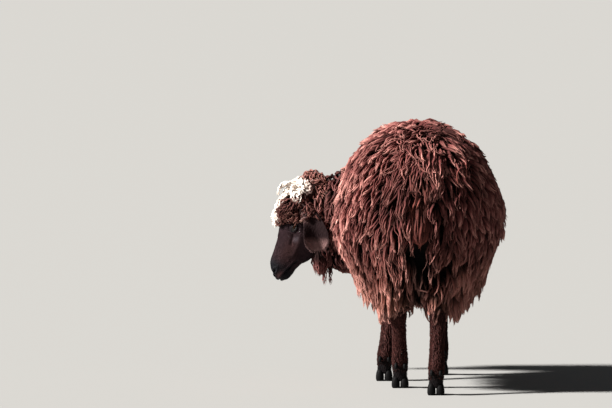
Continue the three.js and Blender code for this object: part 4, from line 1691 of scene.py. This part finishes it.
def growFur():
    random = np.random.default_rng(fur["seed"])
    furred = isForm("head") & ~hasCurls(skinPoints) & (bareSkin(skinPoints) < 0.4)
    furred &= toHead(skinPoints)[:, 1] > -0.222
    roots, out = plantRoots(furred, fur["spacing"], fur["rootSeed"])
    muzzle = smoothStep(toHead(roots)[:, 1], -0.06, 0.0)
    length = fur["length"] * mix(1.0, 0.6, muzzle) * random.uniform(0.8, 1.3, len(roots))
    locks = flatTufts(roots, out, faceFlow(roots), length, fur["girth"] * mix(1.0, 0.8, muzzle),
                      fur["lift"] * mix(1.0, 0.6, muzzle), headChart, random)
    sweepLocks("faceFur", locks, furMaterial, flatness=0.35, slot="face", **furSweep)
    pastern = isForm(*legForms) & (skinPoints[:, 2] < 0.075) & (skinPoints[:, 2] > 0.030)
    roots, out = plantRoots(pastern, fur["pasternSpacing"], fur["rootSeed"] + 1)
    chart = lineChart(fromBody([(0, 0, 0), (0, 0, 0.1)]), (0, 1, 0))
    length = fur["pasternLength"] * random.uniform(0.8, 1.3, len(roots))
    locks = flatTufts(roots, out, downwards(len(roots)), length, fur["pasternGirth"], fur["pasternLift"], chart,
                      random)
    sweepLocks("pasternFur", locks, furMaterial, flatness=0.35, slot="leg_wool", **furSweep)


def rimTufts(random):
    # tufts in three rows along both margins of each ear
    roots, out, length = [], [], []
    for name in earForms:
        rows = forms[name][0].reshape(-1, earAround, 3)
        middle = rows.mean(1)
        ahead = unit(np.gradient(middle, axis=0))
        for margin in (0, earAround // 2):
            for step in range(8, len(rows) - 1):
                for turn in (-1, 0, 1):
                    shift = ahead[step] * random.uniform(-0.001, 0.001)
                    point = rows[step, (margin + turn) % earAround] + shift
                    roots.append(point)
                    out.append(unit(point - middle[step]))
                    length.append(random.uniform(*fur["rimLength"]))
    roots, out, length = np.array(roots), np.array(out), np.array(length)
    count = len(roots)
    share = np.array([-0.1, 0.3, 0.7, 1.0]) * length[:, None]
    points = roots[:, None] + unit(out * 0.45 + [0, 0, -1.0])[:, None] * share[..., None]
    size = np.array([0.8, 1.0, 0.7, 0.12]) * random.uniform(*fur["rimGirth"], (count, 1))
    return Locks(points, np.repeat(out[:, None], tuftSize, 1), size, np.zeros(size.shape), headChart(roots),
                 random.normal(0.6, 0.15, count).clip(0, 1), np.zeros(count), coatColour(roots))


def growEarFur():
    random = np.random.default_rng(fur["seed"] + 1)
    sweepLocks("earRims", rimTufts(random), furMaterial, flatness=0.7, slot="face", **furSweep)
    roots, out = plantRoots(isForm(*earForms), fur["earSpacing"], fur["rootSeed"] + 2)
    length = fur["earLength"] * random.uniform(0.7, 1.3, len(roots))
    locks = flatTufts(roots, out, downwards(len(roots)), length, fur["earGirth"], fur["lift"], headChart,
                      random)
    sweepLocks("earFur", locks, furMaterial, flatness=0.35, slot="face", **furSweep)


growFur()
growEarFur()
print("coat triangles:", sum(lockTriangles.values()))

# eyes: a ball with its cornea, the lid margins and lashes

eye = {
    "cornea": 0.0007, "corneaReach": 32, "iris": 0.70, "pupilLong": 0.34, "pupilHigh": 0.115,
    "gaze": (0.95, 0.26, 0.10), "pupilColour": (0.002, 0.002, 0.003), "whiteColour": (0.012, 0.007, 0.006),
    "irisDark": (0.012, 0.0055, 0.003), "irisLight": (0.045, 0.020, 0.008),
}
eyeSurface = {"Roughness": 0.22, "Specular IOR Level": 0.25, "Coat Weight": 0.30, "Coat Roughness": 0.05}
lidMargin = {"Base Color": (0.006, 0.0045, 0.005, 1), "Roughness": 0.5, "Coat Weight": 0.12}
lidRing = {"girth": 0.00085, "wide": 1.25, "along": 64, "around": 8}


def eyeBasis(side):
    gaze = unit(np.array(eye["gaze"]) * [sides[side], 1, 1]) @ headFrame.T
    level = unit(np.cross(gaze, [0, 0, 1]))
    return gaze, level, np.cross(level, gaze)


def eyeMaterial():
    material = newMaterial("eye", eyeSurface)
    tree = material.node_tree
    place = firstOf(tree, "ShaderNodeUVMap", uv_map="eyeMap")
    centred = vectors(tree, "MULTIPLY_ADD", place, (2.0, 2.0, 0.0), (-1.0, -1.0, 0.0))
    # a level slit for a pupil
    squeezed = vectors(tree, "MULTIPLY", centred, (1 / eye["pupilLong"], 1 / eye["pupilHigh"], 0.0))
    inPupil = ranged(tree, vectors(tree, "LENGTH", squeezed), (0.9, 1.06))
    rays = twoTones(tree, noise(tree, centred, Scale=9.0, Detail=3.0), eye["irisDark"], eye["irisLight"])
    iris = mixedColour(tree, inPupil, (*eye["pupilColour"], 1), rays)
    edge = ranged(tree, vectors(tree, "LENGTH", centred), (eye["iris"] - 0.05, eye["iris"] + 0.02))
    return linkShader(material, {"Base Color": mixedColour(tree, edge, iris, (*eye["whiteColour"], 1))})


def makeEye(side, material):
    gaze, level, high = eyeBasis(side)
    rows, around = 32, 48
    polar = np.linspace(0, math.pi, rows + 1)
    turn = np.linspace(0, 2 * math.pi, around, endpoint=False)
    radius = eyeRadius + eye["cornea"] * (1 - smoothStep(polar, 0.0, math.radians(eye["corneaReach"])))
    across, rise = (np.sin(polar)[:, None] * wave(turn)[None] for wave in (np.cos, np.sin))
    ring = gaze * np.cos(polar)[:, None, None] + level * across[..., None] + high * rise[..., None]
    points = eyeCentres[side] + ring * radius[:, None, None]
    points = np.concatenate([points[:1, 0], points[1:-1].reshape(-1, 3), points[-1:, 0]])
    corner = 1 + np.arange((rows - 1) * around).reshape(rows - 1, around)
    over = np.roll(corner, -1, 1)
    faces = [(0, start, end) for start, end in zip(corner[0].tolist(), over[0].tolist())]
    faces += np.stack([corner[:-1], corner[1:], over[1:], over[:-1]], -1).reshape(-1, 4).tolist()
    faces += [(len(points) - 1, end, start) for start, end in zip(corner[-1].tolist(), over[-1].tolist())]
    mesh = bpy.data.meshes.new("eye_" + side)
    mesh.from_pydata(points.tolist(), [], faces)
    mesh.materials.append(material)
    off = (points - eyeCentres[side]) / eyeRadius
    place = np.stack([off @ level, off @ high], 1) * 0.5 + 0.5
    corners = np.empty(len(mesh.loops), np.int32)
    mesh.loops.foreach_get("vertex_index", corners)
    mesh.uv_layers.new(name="eyeMap").data.foreach_set("uv", place[corners].astype(np.float32).ravel())
    mesh.shade_smooth()
    if mesh.polygons[0].normal.dot(Vector(gaze)) < 0:
        mesh.flip_normals()
    return newPiece("eyeball_" + side, mesh)


def lidLine(side):
    turn = np.linspace(0, 2 * math.pi, lidRing["along"], endpoint=False)
    along = eyeShape["half"] * np.cos(turn)
    above = np.where(np.sin(turn) > 0, eyeShape["above"], eyeShape["below"]) * np.sin(turn)
    out = eyePlace["out"] + np.sqrt((eyeRadius + 0.0006) ** 2 - along**2 - above**2)
    return fromHead(np.stack([sides[side] * out, along - eyePlace["behindNose"], above + eyePlace["up"]], 1))


def makeLids(material):
    shapes = []
    along, around = lidRing["along"], lidRing["around"]
    turn = np.linspace(0, 2 * math.pi, around, endpoint=False)[None, :, None]
    for side in sides:
        line = lidLine(side)
        outward = unit(line - eyeCentres[side])
        across = np.cross(unit(np.roll(line, -1, 0) - np.roll(line, 1, 0)), outward)
        ring = np.cos(turn) * across[:, None] * lidRing["wide"] + np.sin(turn) * outward[:, None]
        points = line[:, None] + lidRing["girth"] * ring
        corner = np.arange(along * around).reshape(along, around)
        ahead, over = np.roll(corner, -1, 0), np.roll(corner, -1, 1)
        faces = np.stack([corner, over, np.roll(over, -1, 0), ahead], -1).reshape(-1, 4)
        shapes.append((points.reshape(-1, 3), faces))
    mesh = plainMesh("lids", *joined(shapes))
    work = bmesh.new()
    work.from_mesh(mesh)
    bmesh.ops.recalc_face_normals(work, faces=work.faces)
    work.to_mesh(mesh)
    work.free()
    mesh.materials.append(material)
    mesh.shade_smooth()
    return newPiece("lids", mesh)


lashes = {
    "first": 3, "last": 30, "length": (0.005, 0.008), "girth": (0.00034, 0.00030, 0.00022, 0.00006),
    "droop": 0.0016, "colour": (0.006, 0.005, 0.006), "seed": 15,
}


def makeLashes():
    random = np.random.default_rng(lashes["seed"])
    share = np.array([-0.1, 0.35, 0.7, 1.0])
    lines, lies = [], []
    for side in sides:
        for root in lidLine(side)[lashes["first"]:lashes["last"]]:
            out = unit(root - eyeCentres[side])
            heading = unit(out + np.array([0, 0, -0.35]) + random.normal(0, 0.12, 3))
            lash = root + heading * (share * random.uniform(*lashes["length"]))[:, None]
            lash[:, 2] -= lashes["droop"] * share**2
            lines.append(lash)
            lies.append(np.tile(out, (tuftSize, 1)))
    lines, count = np.array(lines), len(lines)
    return Locks(lines, np.array(lies), np.tile(lashes["girth"], (count, 1)), np.zeros((count, tuftSize)),
                 headChart(lines[:, 0]), np.full(count, 0.2), np.zeros(count),
                 np.tile(lashes["colour"], (count, 1)))


eyePaint = eyeMaterial()
eyeballs = {side: makeEye(side, eyePaint) for side in sides}
lids = makeLids(newMaterial("lidMargin", lidMargin))
sweepLocks("lashes", makeLashes(), furMaterial, flatness=1.0, slot="face", **furSweep)
print("eyes placed")

# hooves: claws flat on the ground, dewclaws behind


horn = {
    "grain": (60.0, 60.0, 420.0), "dark": (0.0015, 0.0015, 0.0020), "light": (0.0055, 0.0048, 0.0048),
    "surface": {"Roughness": 0.62, "Specular IOR Level": 0.06},
}


def hornMaterial():
    material = newMaterial("horn", horn["surface"])
    tree = material.node_tree
    place = addNode(tree, "ShaderNodeTexCoord").outputs["Object"]
    rings = noise(tree, vectors(tree, "MULTIPLY", place, horn["grain"]), Scale=1.0, Detail=3.0)
    return linkShader(material, {"Base Color": twoTones(tree, rings, horn["dark"], horn["light"]),
                                 "Normal": bumped(tree, rings, 0.5, 0.0008)})


# sections of a claw: inwards from its middle, ahead, height, half width, up and down from its line
clawRows = [
    (0, -0.0225, 0.008, 0.0108, 0.024, 0.016),
    (0, -0.006, 0.008, 0.0117, 0.0295, 0.016),
    (0, 0.009, 0.007, 0.0114, 0.0265, 0.016),
    (0.0007, 0.020, 0.006, 0.0096, 0.0185, 0.016),
    (0.0012, 0.0275, 0.005, 0.0068, 0.0105, 0.016),
]
# sections of a dewclaw: out from the leg's middle, ahead, height, half width, front and back of its line
dewclawRows = [
    (0.012, -0.0165, 0.070, 0.0042, 0.0046, 0.0046),
    (0.0122, -0.0205, 0.064, 0.0052, 0.0060, 0.0056),
    (0.0122, -0.0225, 0.058, 0.0040, 0.0044, 0.0044),
]
hoof = {"clawOut": 0.0124, "ahead": 0.006}


def makeHooves(material):
    shapes = []
    for _, joints in legs.values():
        fetlock, (x, y, _) = joints[-2][1], joints[-1]
        for sign in (-1, 1):
            claw = [(x + sign * hoof["clawOut"] - sign * inwards, y + hoof["ahead"] + ahead, *rest)
                    for inwards, ahead, *rest in clawRows]
            points, faces = loft(claw, (0, 0, 1), 32, 28, (0.0065, 0.0060))
            points[:, 2] = np.maximum(points[:, 2], 0.0)
            dew = [(x + sign * out, fetlock + ahead, *rest) for out, ahead, *rest in dewclawRows]
            small, smallFaces = loft(dew, (0, 1, 0), 16, 12, (0.0022, 0.0026))
            shapes += [(fromBody(points), faces), (fromBody(small), smallFaces)]
    mesh = plainMesh("hooves", *joined(shapes))
    mesh.materials.append(material)
    mesh.shade_smooth()
    return newPiece("hooves", mesh)


hooves = makeHooves(hornMaterial())
print("hooves placed")

# skin paint


# under and underCream darken the skin beneath brown and cream wool as painted shade
skinLook = {
    "under": 0.14, "underCream": 0.90, "bareColour": (0.0070, 0.0066, 0.0085), "bareShare": 0.85,
    "roughness": (0.66, 0.40), "fine": 900.0, "folds": 130.0, "surface": {"Specular IOR Level": 0.09},
}


def skinMaterial():
    material = newMaterial("skin", skinLook["surface"])
    tree = material.node_tree
    place = addNode(tree, "ShaderNodeTexCoord").outputs["Object"]
    fine = noise(tree, place, Scale=skinLook["fine"], Detail=3.0, Roughness=0.6)
    folds = noise(tree, place, Scale=skinLook["folds"], Detail=2.0)
    level = ranged(tree, folds, (0.3, 0.7), (0.78, 1.18))
    return linkShader(material, {
        "Base Color": vectors(tree, "SCALE", attributeValue(tree, "coat", "Color"), level),
        "Roughness": ranged(tree, attributeValue(tree, "bare"), (0.0, 1.0), skinLook["roughness"]),
        "Normal": bumped(tree, numbers(tree, "ADD", fine, folds), 0.6, 0.0007)})


def paintSkin():
    colours = coatColour(skinPoints, np.arange(len(skinPoints)))
    woolly = isIn(skinForm, "trunk", "tail", "neck", "crown")
    woolly = np.maximum(woolly, hasCurls(skinPoints) * isIn(skinForm, "head"))
    woolly = np.maximum(woolly, isIn(skinForm, *legForms) * smoothStep(skinPoints[:, 2], 0.24, 0.30))
    # painted shade: skin under the wool is darkened where the locks shade it, much less under the cream
    under = np.where(colours[:, 1] > paleFrom, skinLook["underCream"], skinLook["under"])
    colours = colours * mix(1.0, under, woolly)[:, None]
    bare = bareSkin(skinPoints) * isIn(skinForm, "head")
    colours = mix(colours, np.array(skinLook["bareColour"]), skinLook["bareShare"] * bare[:, None])
    storeAttribute(skin.data, "coat", "FLOAT_VECTOR", colours)
    storeAttribute(skin.data, "bare", "FLOAT", bare)
    skin.data.attributes.remove(skin.data.attributes["share"])
    skin.data.materials.clear()
    skin.data.materials.append(skinMaterial())
    skin.data.shade_smooth()


paintSkin()

# hand over: what each piece rides on and stands for

flesh = ["trunk", "tail", "neck", "head", "lower_jaw", "ear_left", "ear_right"] + legForms
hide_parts(*flesh)
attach(skin, root)
for side, piece in eyeballs.items():
    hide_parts("eye_" + side)
    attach(piece, root)
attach(lids, root)
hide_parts(*[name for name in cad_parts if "claw" in name])
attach(hooves, root)
for piece, pieceSlot in coatPieces:
    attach(piece, root)
    if piece.name.startswith("curls_1"):
        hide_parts("topknot")
    if piece.name.startswith("throat_"):
        part = {"1": "front", "2": "middle", "3": "rear"}[piece.name.split("_")[1]]
        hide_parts("throat_lock_" + part)
